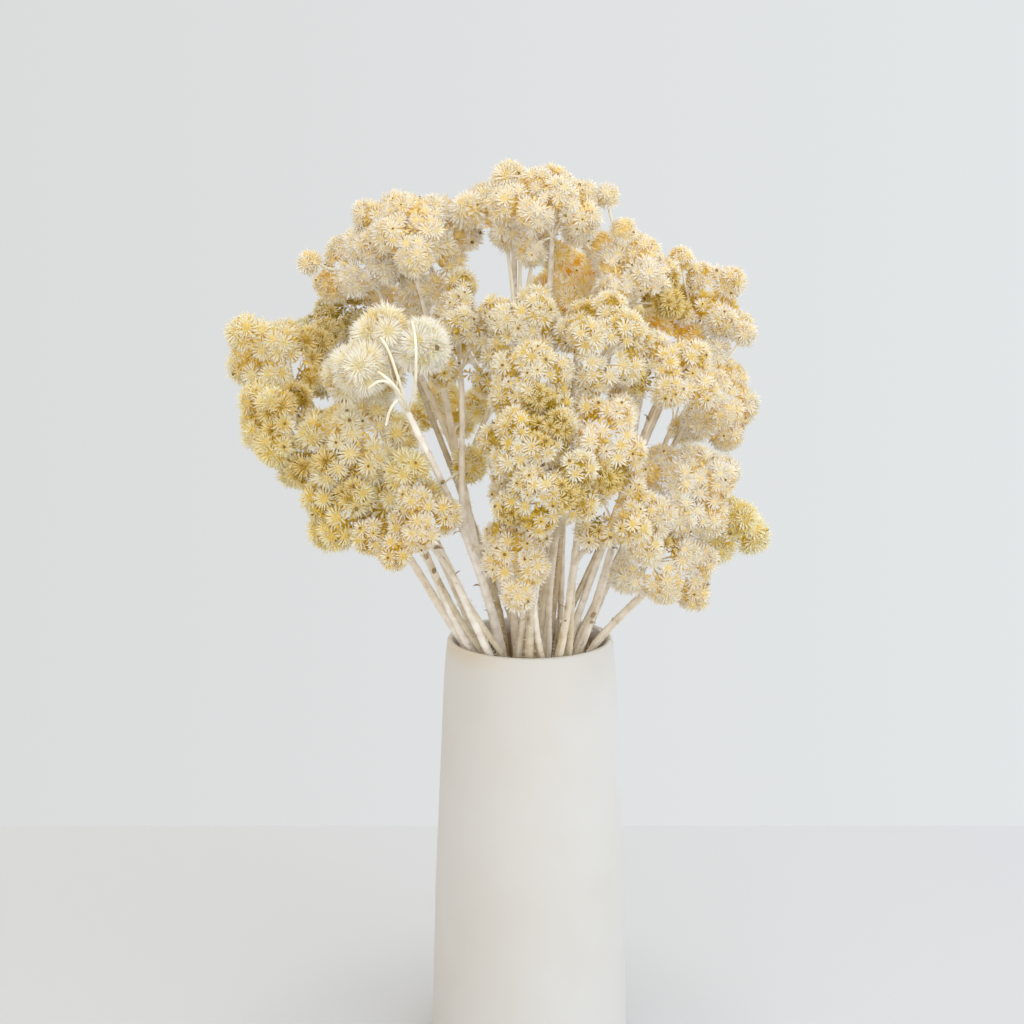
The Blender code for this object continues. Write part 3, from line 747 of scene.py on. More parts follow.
def spray_tree():
    """Heads, eyes, cores and pedicels of one spray."""
    tree, w, given, out = geometry_tree("aster_spray", [
        ("Petal Widest", "NodeSocketFloat", 0.62),
        ("Petal Thickness", "NodeSocketFloat", 0.40),
        ("Petal Bend", "NodeSocketFloat", 0.50),
        ("Pedicel Sides", "NodeSocketInt", 6),
        ("Petals", "NodeSocketMaterial", None),
        ("Deep Petals", "NodeSocketMaterial", None),
        ("Eyes", "NodeSocketMaterial", None),
        ("Pedicels", "NodeSocketMaterial", None),
        ("Specks", "NodeSocketMaterial", None),
    ])
    petal = kite_petal(w, given["Petal Widest"], given["Petal Thickness"], given["Petal Bend"])
    ball = w.add("GeometryNodeMeshIcoSphere", {"Radius": 1.0, "Subdivisions": 2}).outputs[0]
    core = w.add("GeometryNodeSetShadeSmooth", {"Geometry": w.noted(ball, "along", CORE_ALONG)}).outputs[0]
    button = w.add("GeometryNodeMeshIcoSphere", {"Radius": 1.0, "Subdivisions": 1}).outputs[0]
    eye = w.noted(button, "along", EYE_ALONG)
    speck = blade(w, 3, 3, width=0.30, thickness=0.10, fullness=1.2, bend=0.5, curl=0.3)
    shapes = [(PETAL, petal, "Petals"), (DEEP_PETAL, petal, "Deep Petals"), (CORE, core, "Petals"),
              (EYE, eye, "Eyes"), (CUSHION, eye, "Petals"), (SCRAP, speck, "Specks")]
    parts = [instanced(w, given["Geometry"], kind, shape, given[finish]) for kind, shape, finish in shapes]
    parts.append(tubes(w, given["Geometry"], given["Pedicel Sides"], given["Pedicels"]))
    w.tree.links.new(w.join(parts), out.inputs[0])
    return tree


def stalk_tree():
    """Woolly tubes with lint on them, and curled leaf scraps."""
    tree, w, given, out = geometry_tree("woolly_stalk", [
        ("Sides", "NodeSocketInt", 12),
        ("Wool Height", "NodeSocketFloat", 0.00035),
        ("Wool Scale", "NodeSocketFloat", 420.0),
        ("Lint Density", "NodeSocketFloat", 60000.0),
        ("Lint From Height", "NodeSocketFloat", 0.205),
        ("Seed", "NodeSocketInt", SEED),
        ("Wool", "NodeSocketMaterial", None),
        ("Lint", "NodeSocketMaterial", None),
        ("Scraps", "NodeSocketMaterial", None),
    ])
    tube = tubes(w, given["Geometry"], given["Sides"], given["Wool"])
    here = w.add("GeometryNodeInputPosition").outputs[0]
    stretched = w.add("ShaderNodeVectorMath", operation="MULTIPLY")
    w.tree.links.new(here, stretched.inputs[0])
    stretched.inputs[1].default_value = (1.0, 1.0, 0.3)
    noise = w.add("ShaderNodeTexNoise", {
        "Vector": stretched.outputs[0], "Scale": given["Wool Scale"], "Detail": 2.0})
    lift = w.product(w.math("SUBTRACT", noise.outputs[0], 0.5), given["Wool Height"], 2.0)
    push = w.add("ShaderNodeVectorMath", operation="SCALE")
    w.feed(push.inputs[0], w.add("GeometryNodeInputNormal").outputs[0])
    w.feed(push.inputs["Scale"], lift)
    rough = w.add("GeometryNodeSetPosition", {"Geometry": tube, "Offset": push.outputs[0]}).outputs[0]
    shown = w.add("FunctionNodeCompare", {"A": w.split(here)["Z"], "B": given["Lint From Height"]},
                  data_type="FLOAT", operation="GREATER_THAN")
    sown = w.add("GeometryNodeDistributePointsOnFaces", {
        "Mesh": rough, "Selection": shown.outputs[0],
        "Density": given["Lint Density"], "Seed": given["Seed"]})
    strand = w.add("GeometryNodeTransform", {
        "Geometry": kite_petal(w, 0.5, 0.5, 1.5), "Scale": (0.075, 0.075, 1.0)}).outputs[0]
    size = w.add("FunctionNodeRandomValue", data_type="FLOAT")
    tip = w.add("FunctionNodeRandomValue", data_type="FLOAT_VECTOR")
    draws = ((size, 2, 3, LINT_LENGTHS, 1.0), (tip, 0, 1, LINT_TURNS, 2.0))
    for node, low, high, (least, most), seed in draws:
        w.feed(node.inputs[low], least)
        w.feed(node.inputs[high], most)
        w.feed(node.inputs["Seed"], w.math("ADD", given["Seed"], seed))
    turn = w.add("FunctionNodeEulerToRotation", {"Euler": tip.outputs[0]})
    laid = w.add("FunctionNodeRotateRotation", {
        "Rotation": sown.outputs["Rotation"], "Rotate By": turn.outputs[0]}, rotation_space="LOCAL")
    hairs = w.add("GeometryNodeInstanceOnPoints", {
        "Points": sown.outputs["Points"], "Instance": strand, "Rotation": laid.outputs[0],
        "Scale": size.outputs[1]})
    hairs = w.add("GeometryNodeRealizeInstances", {"Geometry": hairs.outputs[0]})
    scrap = blade(w, 4, 5, width=0.17, thickness=0.04, fullness=1.6, bend=0.45, curl=0.35)
    parts = [rough, w.painted(hairs.outputs[0], given["Lint"]),
             instanced(w, given["Geometry"], SCRAP, scrap, given["Scraps"])]
    w.tree.links.new(w.join(parts), out.inputs[0])
    return tree


# Materials
def new_material(name):
    """A material with a Principled shader: its wiring and the shader node."""
    made = bpy.data.materials.new(name)
    made.use_nodes = True
    shader = made.node_tree.nodes["Principled BSDF"]
    return made, Wiring(made.node_tree), shader


def colour_ramp(wiring, value, stops):
    node = wiring.add("ShaderNodeValToRGB", {"Fac": value})
    ramp = node.color_ramp
    while len(ramp.elements) < len(stops):
        ramp.elements.new(0.5)
    for element, (place, colour) in zip(ramp.elements, stops):
        element.position = place
        element.color = (*colour, 1.0)
    return node.outputs["Color"]


def named(wiring, name):
    return wiring.add("ShaderNodeAttribute", attribute_type="GEOMETRY", attribute_name=name).outputs["Fac"]


def mixed(wiring, kind, share, first, second):
    node = wiring.add("ShaderNodeMix", data_type="RGBA", blend_type=kind)
    for number, value in ((0, share), (6, first), (7, second)):
        wiring.feed(node.inputs[number], value)
    return node.outputs[2]


def coat(wiring, shader, colour, roughness, gloss=None):
    """Gives the shader its colour and roughness, and its gloss where that isn't the usual one."""
    wiring.feed(shader.inputs["Base Color"], colour)
    wiring.feed(shader.inputs["Roughness"], roughness)
    if gloss is not None:
        shader.inputs["Specular IOR Level"].default_value = gloss


def grained(wiring, shader, height, strength, distance):
    """Gives the surface a fine grain in its shading."""
    bump = wiring.add("ShaderNodeBump", {"Height": height, "Strength": strength, "Distance": distance})
    wiring.feed(shader.inputs["Normal"], bump.outputs[0])


def noise_at(wiring, scale, detail=3.0, stretch=(1.0, 1.0, 1.0)):
    spot = wiring.add("ShaderNodeTexCoord").outputs["Object"]
    mapped = wiring.add("ShaderNodeMapping", {"Vector": spot, "Scale": stretch})
    return wiring.add("ShaderNodeTexNoise", {
        "Vector": mapped.outputs[0], "Scale": scale, "Detail": detail}).outputs[0]


def bract_paper(tone, stops):
    """Dry bracts: ochre at the root, cream at the tip, no two heads quite alike."""
    made, w, shader = new_material(tone + "_bracts")
    root, low, high, tip = stops
    along = named(w, "along")
    tint = named(w, "tint")
    reach = w.math("MULTIPLY_ADD", tint, 0.75, 0.30)
    shifted = w.math("MULTIPLY_ADD", along, reach, w.math("MULTIPLY_ADD", tint, 0.30, -0.05))
    colour = colour_ramp(w, shifted, [(0.02, root), (0.24, low), (0.48, high), (0.80, tip)])
    blotch = noise_at(w, 130.0)
    warm = w.math("MULTIPLY_ADD", blotch, 1.6, -0.55, clamp=True)
    colour = mixed(w, "MULTIPLY", w.math("MULTIPLY", warm, 0.35), colour, (0.98, 0.88, 0.62, 1.0))
    coat(w, shader, colour, 0.72, 0.25)
    let_through(w, shader, colour, LET_THROUGH.get(tone, USUAL_LET_THROUGH))
    return made


def let_through(wiring, shader, colour, share):
    """Lets a share of the light through thin bracts."""
    thin = wiring.add("ShaderNodeBsdfTranslucent", {"Color": colour})
    both = wiring.add("ShaderNodeMixShader", {"Fac": share})
    wiring.tree.links.new(shader.outputs[0], both.inputs[1])
    wiring.tree.links.new(thin.outputs[0], both.inputs[2])
    wiring.tree.links.new(both.outputs[0], wiring.tree.nodes["Material Output"].inputs["Surface"])


def eye_brown():
    """The disc of a head: dark brown, from the pit end of a ramp that runs out to an ochre rim."""
    made, w, shader = new_material("disc_of_florets")
    colour = colour_ramp(w, named(w, "along"), [
        (0.0, (0.075, 0.032, 0.007)), (0.42, (0.150, 0.070, 0.016)), (0.62, (0.58, 0.31, 0.06)),
        (0.95, (0.74, 0.46, 0.12))])
    coat(w, shader, colour, 0.8)
    return made


def pedicel_cream():
    made, w, shader = new_material("pedicel_cream")
    colour = colour_ramp(w, noise_at(w, 260.0, 3.0, (1.0, 1.0, 0.3)), [
        (0.30, (0.66, 0.54, 0.33)), (0.55, (0.80, 0.71, 0.52)), (0.8, (0.86, 0.80, 0.65))])
    coat(w, shader, colour, 0.8)
    return made


def stalk_wool():
    """Felted beige wool over an ochre-grey stalk, with brown flecks."""
    made, w, shader = new_material("stalk_wool")
    streak = w.math("MULTIPLY_ADD", named(w, "grain"), 0.34, w.product(noise_at(w, 190.0, 4.0), 0.68))
    colour = colour_ramp(w, streak, [
        (0.26, (0.33, 0.24, 0.125)), (0.41, (0.54, 0.445, 0.31)), (0.55, (0.71, 0.635, 0.51)),
        (0.71, (0.85, 0.80, 0.71))])
    tone = colour_ramp(w, noise_at(w, 22.0, 2.0, (1.0, 1.0, 0.4)), [
        (0.36, (0.80, 0.69, 0.50)), (0.60, (1.0, 1.0, 1.0))])
    colour = mixed(w, "MULTIPLY", 0.8, colour, tone)
    own = colour_ramp(w, named(w, "tint"), [
        (0.10, (0.60, 0.52, 0.38)), (0.45, (0.84, 0.79, 0.69)), (0.80, (1.0, 0.97, 0.96))])
    colour = mixed(w, "MULTIPLY", 1.0, colour, own)
    fleck = w.math("MULTIPLY_ADD", noise_at(w, 420.0, 2.0, (1.0, 1.0, 0.45)), 9.0, -5.85, clamp=True)
    colour = mixed(w, "MIX", w.math("MULTIPLY", fleck, 0.8), colour, (0.22, 0.14, 0.06, 1.0))
    coat(w, shader, colour, 0.92, 0.15)
    grained(w, shader, noise_at(w, 900.0, 3.0, (1.0, 1.0, 0.35)), 0.5, 0.0004)
    return made


def lint_white():
    made, w, shader = new_material("lint")
    colour = colour_ramp(w, noise_at(w, 300.0), [(0.35, (0.66, 0.57, 0.42)), (0.65, (0.86, 0.81, 0.70))])
    coat(w, shader, colour, 0.9)
    return made


def scrap_brown():
    made, w, shader = new_material("leaf_scraps")
    colour = colour_ramp(w, named(w, "tint"), [
        (0.10, (0.26, 0.155, 0.050)), (0.40, (0.44, 0.30, 0.13)), (0.70, (0.64, 0.50, 0.30)),
        (0.95, (0.82, 0.73, 0.55))])
    coat(w, shader, mixed(w, "MULTIPLY", noise_at(w, 700.0), colour, (0.55, 0.50, 0.45, 1.0)), 0.85)
    return made


def matte_ceramic():
    """Unglazed cream body: faint mottling, a warm stain under the lip, painted shade inside, painted warm
    light on the lip in front on the left, and fine grain.
    """
    made, w, shader = new_material("matte_ceramic")
    mottle = noise_at(w, 16.0, 4.0)
    colour = colour_ramp(w, mottle, [(0.35, (0.530, 0.491, 0.438)), (0.65, (0.556, 0.531, 0.497))])
    spot = w.split(w.add("ShaderNodeTexCoord").outputs["Object"])
    under_lip = w.math("MULTIPLY_ADD", spot["Z"], 28.0, -5.05, clamp=True)
    patches = w.math("MULTIPLY_ADD", noise_at(w, 9.0, 2.0), 2.2, -0.65, clamp=True)
    colour = mixed(w, "MULTIPLY", w.product(under_lip, patches, 0.55), colour, (0.96, 0.88, 0.72, 1.0))
    # Painted shade inside: nearer the middle than the wall's own middle, and below the lip
    out_squared = w.math("ADD", w.math("POWER", spot["X"], 2.0), w.math("POWER", spot["Y"], 2.0))
    within_wall = w.math("LESS_THAN", w.math("SQRT", out_squared),
                         w.math("MULTIPLY_ADD", spot["Z"], -0.0394, 0.0483))
    below_lip = w.math("MULTIPLY_ADD", spot["Z"], -150.0, 31.6, clamp=True)
    colour = mixed(w, "MULTIPLY", w.product(within_wall, below_lip), colour, (0.40, 0.28, 0.14, 1.0))
    # Painted warm light: a warm ring on the left of the lip, in front
    on_left = w.math("MULTIPLY_ADD", spot["X"], -45.0, -0.35, clamp=True)
    in_front = w.math("LESS_THAN", spot["Y"], 0.0)
    at_lip = w.math("MULTIPLY_ADD", spot["Z"], 150.0, -30.6, clamp=True)
    ring = w.math("MULTIPLY", w.product(on_left, in_front), w.product(at_lip, 0.75))
    colour = mixed(w, "MULTIPLY", ring, colour, (0.98, 0.86, 0.66, 1.0))
    coat(w, shader, colour, w.math("MULTIPLY_ADD", mottle, 0.10, 0.50))
    grained(w, shader, noise_at(w, 1500.0, 4.0), 0.12, 0.0003)
    return made


def table_white():
    """A pale table, warmer on the left and cooler on the right: painted warm and cool light."""
    made, w, shader = new_material("table_white")
    across_table = w.split(w.add("ShaderNodeTexCoord").outputs["Object"])["X"]
    blotch = w.math("MULTIPLY_ADD", noise_at(w, 3.0, 2.0), 0.2, 0.4)
    # Painted light: warmer on the left and cooler on the right, broken up by the blotches
    blend = w.math("MULTIPLY_ADD", across_table, 1.1, blotch)
    coat(w, shader, colour_ramp(w, blend, [(0.1, (0.455, 0.446, 0.424)), (0.9, (0.464, 0.464, 0.474))]), 0.6)
    return made


# Pieces
def linked(name, data):
    """An object that holds the data, linked into the scene."""
    thing = bpy.data.objects.new(name, data)
    bpy.context.scene.collection.objects.link(thing)
    return thing


def finished(base, name):
    """A plain object with the mesh that the base's modifier makes; the base is removed."""
    graph = bpy.context.evaluated_depsgraph_get()
    made = bpy.data.meshes.new_from_object(base.evaluated_get(graph))
    made.name = name
    start = base.data
    bpy.data.objects.remove(base)
    bpy.data.meshes.remove(start)
    return linked(name, made)


class PointSet:
    """Points and lines that a node tree grows pieces on, with what each point says."""

    def __init__(self):
        self.places = []
        self.edges = []
        self.values = {"kind": [], "aim": [], "away": [], "size": [], "tint": [], "thick": []}

    def add(self, place, kind, aim=UP, away=(0.0, 1.0, 0.0), size=(1.0, 1.0, 1.0), tint=0.5, thick=0.001):
        self.places.append(tuple(place))
        given = {"kind": kind, "aim": tuple(aim), "away": tuple(away), "size": tuple(size), "tint": tint,
                 "thick": thick}
        for name, value in given.items():
            self.values[name].append(value)

    def add_many(self, places, kind, aims, aways, sizes, tints):
        self.places += places.tolist()
        given = {"kind": [kind] * len(places), "aim": aims.tolist(), "away": aways.tolist(),
                 "size": sizes.tolist(), "tint": tints.tolist(), "thick": [PEDICEL_RADIUS] * len(places)}
        for name, rows in given.items():
            self.values[name] += rows

    def add_line(self, points, radii, tint=0.5):
        first = len(self.places)
        for point, radius in zip(points, radii):
            self.add(point, STALK, tint=tint, thick=radius)
        self.edges += [(first + i, first + i + 1) for i in range(len(points) - 1)]

    def grow(self, name, tree, inputs):
        """A plain mesh object made by the tree from these points."""
        mesh = bpy.data.meshes.new(name + "_points")
        mesh.from_pydata(self.places, self.edges, [])
        for label, values in self.values.items():
            kind, field, number = POINT_VALUES.get(label, ("FLOAT_VECTOR", "vector", np.float32))
            layer = mesh.attributes.new(label, kind, "POINT")
            layer.data.foreach_set(field, np.array(values).ravel().astype(number))
        base = linked(name + "_points", mesh)
        grown = base.modifiers.new("grow", "NODES")
        grown.node_group = tree
        sockets = {item.name: item.identifier for item in tree.interface.items_tree if item.in_out == "INPUT"}
        for label, value in inputs.items():
            grown[sockets[label]] = value
        return finished(base, name)


def across(direction):
    """Two unit directions square to this one and to each other."""
    side = direction.cross(UP)
    if side.length < 0.01:
        side = Vector((1.0, 0.0, 0.0))
    side.normalize()
    return side, side.cross(direction).normalized()


def round_sphere(count, last_height):
    """Directions evenly spread over the sphere from its +Z pole down to a height."""
    spots = []
    for i in range(count):
        z = 1 - (1 - last_height) * (i + 0.5) / count
        ring = math.sqrt(max(0.0, 1 - z * z))
        spots.append(Vector((ring * math.cos(GOLDEN_ANGLE * i), ring * math.sin(GOLDEN_ANGLE * i), z)))
    return spots


def add_daisy(points, kind, seat, axis, radius, count, tint, paleness, rng, dice):
    """One small daisy: a yellow tuft in the middle and pale petals laid open round it."""
    side, upper = across(axis)
    rank = (np.arange(count) + 0.5) / count
    turn = GOLDEN_ANGLE * np.arange(count) + rng.uniform(0, 2 * math.pi)
    low, high = (math.radians(a) for a in PETAL_TILTS)
    tilt = (low + (high - low) * rank ** OPENING_CURVE)[:, None]
    outward = np.outer(np.cos(turn), side) + np.outer(np.sin(turn), upper)
    near, further = ROOTS_WITHIN_DISC
    roots = np.array(seat) + outward * (radius * DISC_SHARE * (near + further * rank))[:, None]
    aims = np.array(axis) * np.cos(tilt) + outward * np.sin(tilt) + dice.normal(0, PETAL_JITTER, (count, 3))
    aims /= np.linalg.norm(aims, axis=1, keepdims=True)
    opened = np.clip(rank / INNER_SHARE, 0, 1)
    opened = opened * opened * (3 - 2 * opened)
    short, long = PETAL_LENGTHS
    lengths = radius * (short + (long - short) * opened) * dice.uniform(*LENGTH_JITTER, count)
    wide = PETAL_WIDTH * math.sqrt(PETALS_IN_SIGHT / count)
    narrow, wider = INNER_WIDTH
    widths = radius * wide * (narrow + wider * opened) * dice.uniform(*WIDTH_JITTER, count) / 2
    least, more = PALENESS_BY_OPENING
    own = np.clip(paleness * (least + more * opened) + PALENESS_OF_TINT * tint
                  + dice.normal(0, PALENESS_JITTER, count), 0, 1)
    points.add_many(roots, kind, aims, outward, np.stack([widths, widths, lengths], axis=1), own)


def blended_surface(centres, radii, axes, rng):
    """Places on the blended surface round the heads: the way out, the own head and the depth of each."""
    def swell(places):
        """From each place, the way from every head, and how strongly that head swells the surface there."""
        apart = places[:, None] - centres[None]
        return apart, np.exp(-BLEND * ((apart ** 2).sum(axis=2) / radii[None] ** 2 - 1))

    ways, own = [], []
    for index, axis in enumerate(axes):
        side, upper = across(axis)
        roll = rng.uniform(0, 2 * math.pi)
        side, upper = (side * math.cos(roll) + upper * math.sin(roll),
                       upper * math.cos(roll) - side * math.sin(roll))
        for spot in round_sphere(CANDIDATES, LOWEST_DAISY):
            ways.append(side * spot.x + upper * spot.y + axis * spot.z)
            own.append(index)
    ways, own = np.array(ways), np.array(own)
    first, last, steps = MARCH
    found = np.full(len(own), np.nan)
    for share in np.linspace(first, last, steps):
        field = swell(centres[own] + ways * (radii[own] * share)[:, None])[1].sum(axis=1)
        found = np.where(np.isnan(found) & (field < 1), share, found)
    kept = ~np.isnan(found)
    own, found = own[kept], found[kept]
    places = centres[own] + ways[kept] * (radii[own] * found)[:, None]
    apart, strength = swell(places)
    normals = (apart * (strength / radii[None] ** 2)[..., None]).sum(axis=1)
    normals /= np.linalg.norm(normals, axis=1, keepdims=True)
    return places, normals, own, found


def spaced(places, spacing, rng, kept=()):
    """Indices of places, in a random order, that keep at least the spacing from those before."""
    order = list(range(len(places)))
    rng.shuffle(order)
    kept, added = list(kept), []
    for index in order:
        if not kept or np.linalg.norm(places[kept] - places[index], axis=1).min() > spacing:
            kept.append(index)
            added.append(index)
    return added


def in_hollow(place):
    """Whether a place on the bunch lies in one of the golden hollows, seen from the front."""
    return any((place.x / MM - x) ** 2 + ((place.z - VASE_HEIGHT) / MM - height) ** 2 < wide ** 2
               for x, height, wide in HOLLOWS)


def add_heads(points, heads, spray, bunch, rng, dice):
    """All daisies of a spray over dark gold cores, small ones low down in the gaps among them; cores and
    small ones are darkened towards the roots' gold as painted shade deep in the heads and in the gaps.
    """
    centres = np.array([centre for centre, foot, radius in heads])
    fluff = OWN_FLUFF.get(spray.name, FLUFF)
    radii = np.array([radius * (fluff if radius > SMALL_HEAD else SMALL_FLUFF)
                      for centre, foot, radius in heads])
    axes = [(centre - foot).normalized() for centre, foot, radius in heads]
    tints = [rng.random() for _ in heads]
    for (centre, foot, radius), axis, tint in zip(heads, axes, tints):
        core = radius * FLUFF * CORE_SHARE * (HOLLOW_CORE if in_hollow(centre) else 1.0)
        points.add(centre, CORE, axis, across(axis)[1], [core] * 3, tint * CORE_TINT)
    is_large = spray.tone in LARGE_TONES or spray.name in LARGE_SPRAYS
    kind = "pompom" if spray.name in POMPOMS else "large" if is_large else "small"
    spacing, shortest, longest, fullness = DAISIES[kind]
    places, normals, own, found = blended_surface(centres, radii, axes, rng)
    daisies = spaced(places, spacing, rng)
    fillers = spaced(places, spacing * FILLER_SPACING, rng, daisies)
    probes = places + normals * BURIED_WITHIN / 2
    buried = (np.linalg.norm(probes[:, None] - bunch[0][None], axis=2) < bunch[1][None]).any(axis=1)
    for index in daisies + fillers:
        filler = index in fillers
        out = Vector(normals[index])
        reach = rng.uniform(shortest, longest)
        sink = radii[own[index]] * (FILLER_SINK if filler else DAISY_SINK) * rng.uniform(*SINK_JITTER)
        seat = Vector(places[index]) - out * sink
        tint = min(1.0, max(0.0, tints[own[index]] + rng.gauss(0, TINT_JITTER)))
        # A filler takes a darker, more golden tint: painted shade in the gaps among the heads
        if filler:
            reach, count, tint = reach * FILLER_REACH, PETALS_OF_FILLER, tint * FILLER_TINT
        elif buried[index]:
            count = PETALS_BURIED
        else:
            count = PETALS_BEHIND if out.y > BEHIND else PETALS_IN_SIGHT
        count = int(count * fullness)
        # A daisy in a hollow sits deeper and takes the darker bracts, painted shade
        hollow = in_hollow(seat)
        if hollow:
            seat, reach = seat - out * HOLLOW_SINK, reach * HOLLOW_REACH
        if not filler and not buried[index] and not hollow:
            wide, deep = CUSHION_SHAPE
            least, more = CUSHION_TINT
            points.add(seat, CUSHION, out, across(out)[1],
                       (reach * wide, reach * wide, reach * deep), least + more * tint)
        petals, paleness = DEEP_PETAL if hollow else PETAL, FILLER_PALENESS if filler else 1.0
        add_daisy(points, petals, seat, out, reach, count, tint, paleness, rng, dice)
        if not filler and rng.random() < EYE_CHANCE * EYES_BY_TONE.get(spray.tone, 1.0):
            wide = reach * EYE_SHARE * rng.uniform(*EYE_JITTER)
            points.add(seat + out * reach * EYE_HEIGHT, EYE, out, across(out)[1], (wide, wide, wide), tint)
    return places, normals, found


def add_pedicel(points, start, start_way, centre, head_axis, radius):
    """A thin stalk that leaves its spray's fork upwards and widens into the cup under its head."""
    end = centre - head_axis * radius * PEDICEL_ENTERS
    span = (end - start).length
    run = smooth_run(start, start_way * PEDICEL_LEAVES, end, head_axis * PEDICEL_ARRIVES, PEDICEL_POINTS)
    cup_length = radius * CUP_LENGTH
    radii = []
    for i in range(len(run)):
        share = i / (len(run) - 1)
        cup = max(0.0, (share * span - span + cup_length) / cup_length)
        radii.append(PEDICEL_ENDS - PEDICEL_WAIST * math.sin(math.pi * share) + cup * radius * CUP_WIDTH)
    points.add_line(run, radii)


def rounded(points):
    """The run with its corners cut twice, ends kept."""
    for _ in range(2):
        cut = [points[0]]
        for one, two in zip(points[:-1], points[1:]):
            cut += [one.lerp(two, 0.25), one.lerp(two, 0.75)]
        points = cut + [points[-1]]
    return points


def make_spray(spray, heads, bunch, tree, looks):
    """Every head, eye and pedicel of one spray, as one piece."""
    rng = random.Random(SEED + spray.number)
    dice = np.random.default_rng(SEED + spray.number)
    points = PointSet()
    fork = spray.seat - spray.axis * FORK_SINK
    places, normals, found = add_heads(points, heads, spray, bunch, rng, dice)
    for centre, foot, radius in heads:
        add_pedicel(points, fork, spray.axis, centre, (centre - foot).normalized(), radius)
    thick, routes = THIN_STALKS.get(spray.name, (0.0, []))
    for route in routes:
        line = rounded([Vector(spot) * MM + UP * VASE_HEIGHT for spot in route])
        points.add_line(line, [thick * MM * (1 - THIN_TAPER * i / len(line)) for i in range(len(line))])
    crevices = [index for index in range(len(found)) if found[index] > CREVICE]
    for index in rng.sample(crevices, min(len(crevices), SPECKS.get(spray.name, OTHER_SPECKS))):
        out = Vector(normals[index])
        for _ in range(BRACTS_A_SPECK):
            astray = Vector((rng.gauss(0, 1), rng.gauss(0, 1), rng.gauss(0, 1)))
            aim = (out + astray * SPECK_SPREAD).normalized()
            long = rng.uniform(*SPECK_LENGTHS)
            points.add(Vector(places[index]) - out * SPECK_SINK, SCRAP, aim, across(aim)[1],
                       (long, long, long), rng.uniform(*SPECK_TINTS))
    piece = points.grow("aster_heads_" + spray.name, tree, {
        "Petals": looks[spray.tone], "Deep Petals": looks["deep_gold"], "Eyes": looks["eye"],
        "Pedicels": looks["pedicel"], "Specks": looks["scrap"],
        "Petal Widest": 0.62, "Petal Thickness": 0.40, "Petal Bend": 0.30, "Pedicel Sides": 6})
    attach(piece, "root")
    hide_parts("flowers_" + spray.name)
    return piece


def eased_mouth(foot, above):
    """The run from its foot to the mouth: straight up, then bent in the neck towards its lean above."""
    mouth = above[0]
    onward = (above[1] - mouth).normalized()
    inward = (foot - mouth).normalized()
    low, knee = mouth + inward * BEND_DEPTH, mouth - onward * KNEE_DEPTH
    bend = [low * (1 - t) ** 2 + knee * 2 * t * (1 - t) + mouth * t ** 2 for t in NECK_BEND]
    return [foot.lerp(low, t / FOOT_POINTS) for t in range(FOOT_POINTS)] + bend


def share_out(bits, fine):
    """The leaf bits of each stalk: each bit goes to the stalk in front that passes nearest to it."""
    given = {stem: [] for stem in fine}
    for x, height, length, tint in bits:
        spots = []
        for stem, lines in fine.items():
            for line, run in enumerate(lines):
                for i, p in enumerate(run[1:-1], 1):
                    aside, above, behind = p.x - x * MM, p.z - VASE_HEIGHT - height * MM, p.y + FRONT_OF_BUNCH
                    spots.append((aside ** 2 + above ** 2 + (BACK_COST * behind) ** 2, stem, line, i))
        stem, line, i = min(spots)[1:]
        given[stem].append((line, i, length * MM, tint))
    return given


def knotted(line, thick, phase, rng):
    """The thickness at each point of a run: tapered to its end, with slight knots."""
    radii = []
    for i in range(len(line)):
        share = i / (len(line) - 1)
        knot = 1 + KNOT * math.sin(KNOT_WAVES * share + phase) + rng.uniform(-KNOT_JITTER, KNOT_JITTER)
        radii.append((thick + (STALK_END_RADIUS - thick) * share ** TAPER) * knot)
    return radii


def companion_line(stem, foot, fine):
    """The run beside a stalk's main one, from the foot until it joins it at the fork."""
    aside = Vector((*COMPANIONS[stem], 0.0)) * MM
    joined = len(fine) * FORK_POINT // (POINTS_ABOVE - 1)
    base = eased_mouth(foot, fine)
    at_foot, further = COMPANION_AT_FOOT
    line = [p + aside * min(1.0, at_foot + further * i / len(base)) for i, p in enumerate(base)]
    return line + [p + aside * (1 - i / joined) ** COMPANION_EASE for i, p in enumerate(fine[:joined])]


def loose_scraps(lines, rng):
    """Leaf scraps at random above the mouth: line, point, length and shade of each."""
    scraps = []
    for index, line in enumerate(lines):
        above = [i for i in range(1, len(line) - 1) if line[i].z > VASE_HEIGHT + LOWEST_SCRAP]
        for _ in range(rng.randint(*SCRAPS_A_RUN)):
            scraps.append((index, rng.choice(above), rng.uniform(*SCRAP_LENGTHS), rng.random()))
    return scraps


def add_scrap(points, line, i, radius, length, shade, rng):
    """One curled scrap, rooted in the stalk's side; a large one faces the front."""
    way = (line[i + 1] - line[i - 1]).normalized()
    side, upper = across(way)
    turn = rng.uniform(0, 2 * math.pi)
    out = side * math.cos(turn) + upper * math.sin(turn)
    if length > LARGE_SCRAP:
        out = (out * OWN_WAY - Vector((0.0, 1.0, 0.0))).normalized()
    aim = (way * rng.uniform(*SCRAP_ALONG) + out * rng.uniform(*SCRAP_OUT)).normalized()
    points.add(line[i] + out * radius * SCRAP_SEAT, SCRAP, aim, out, (length, length, length), shade)


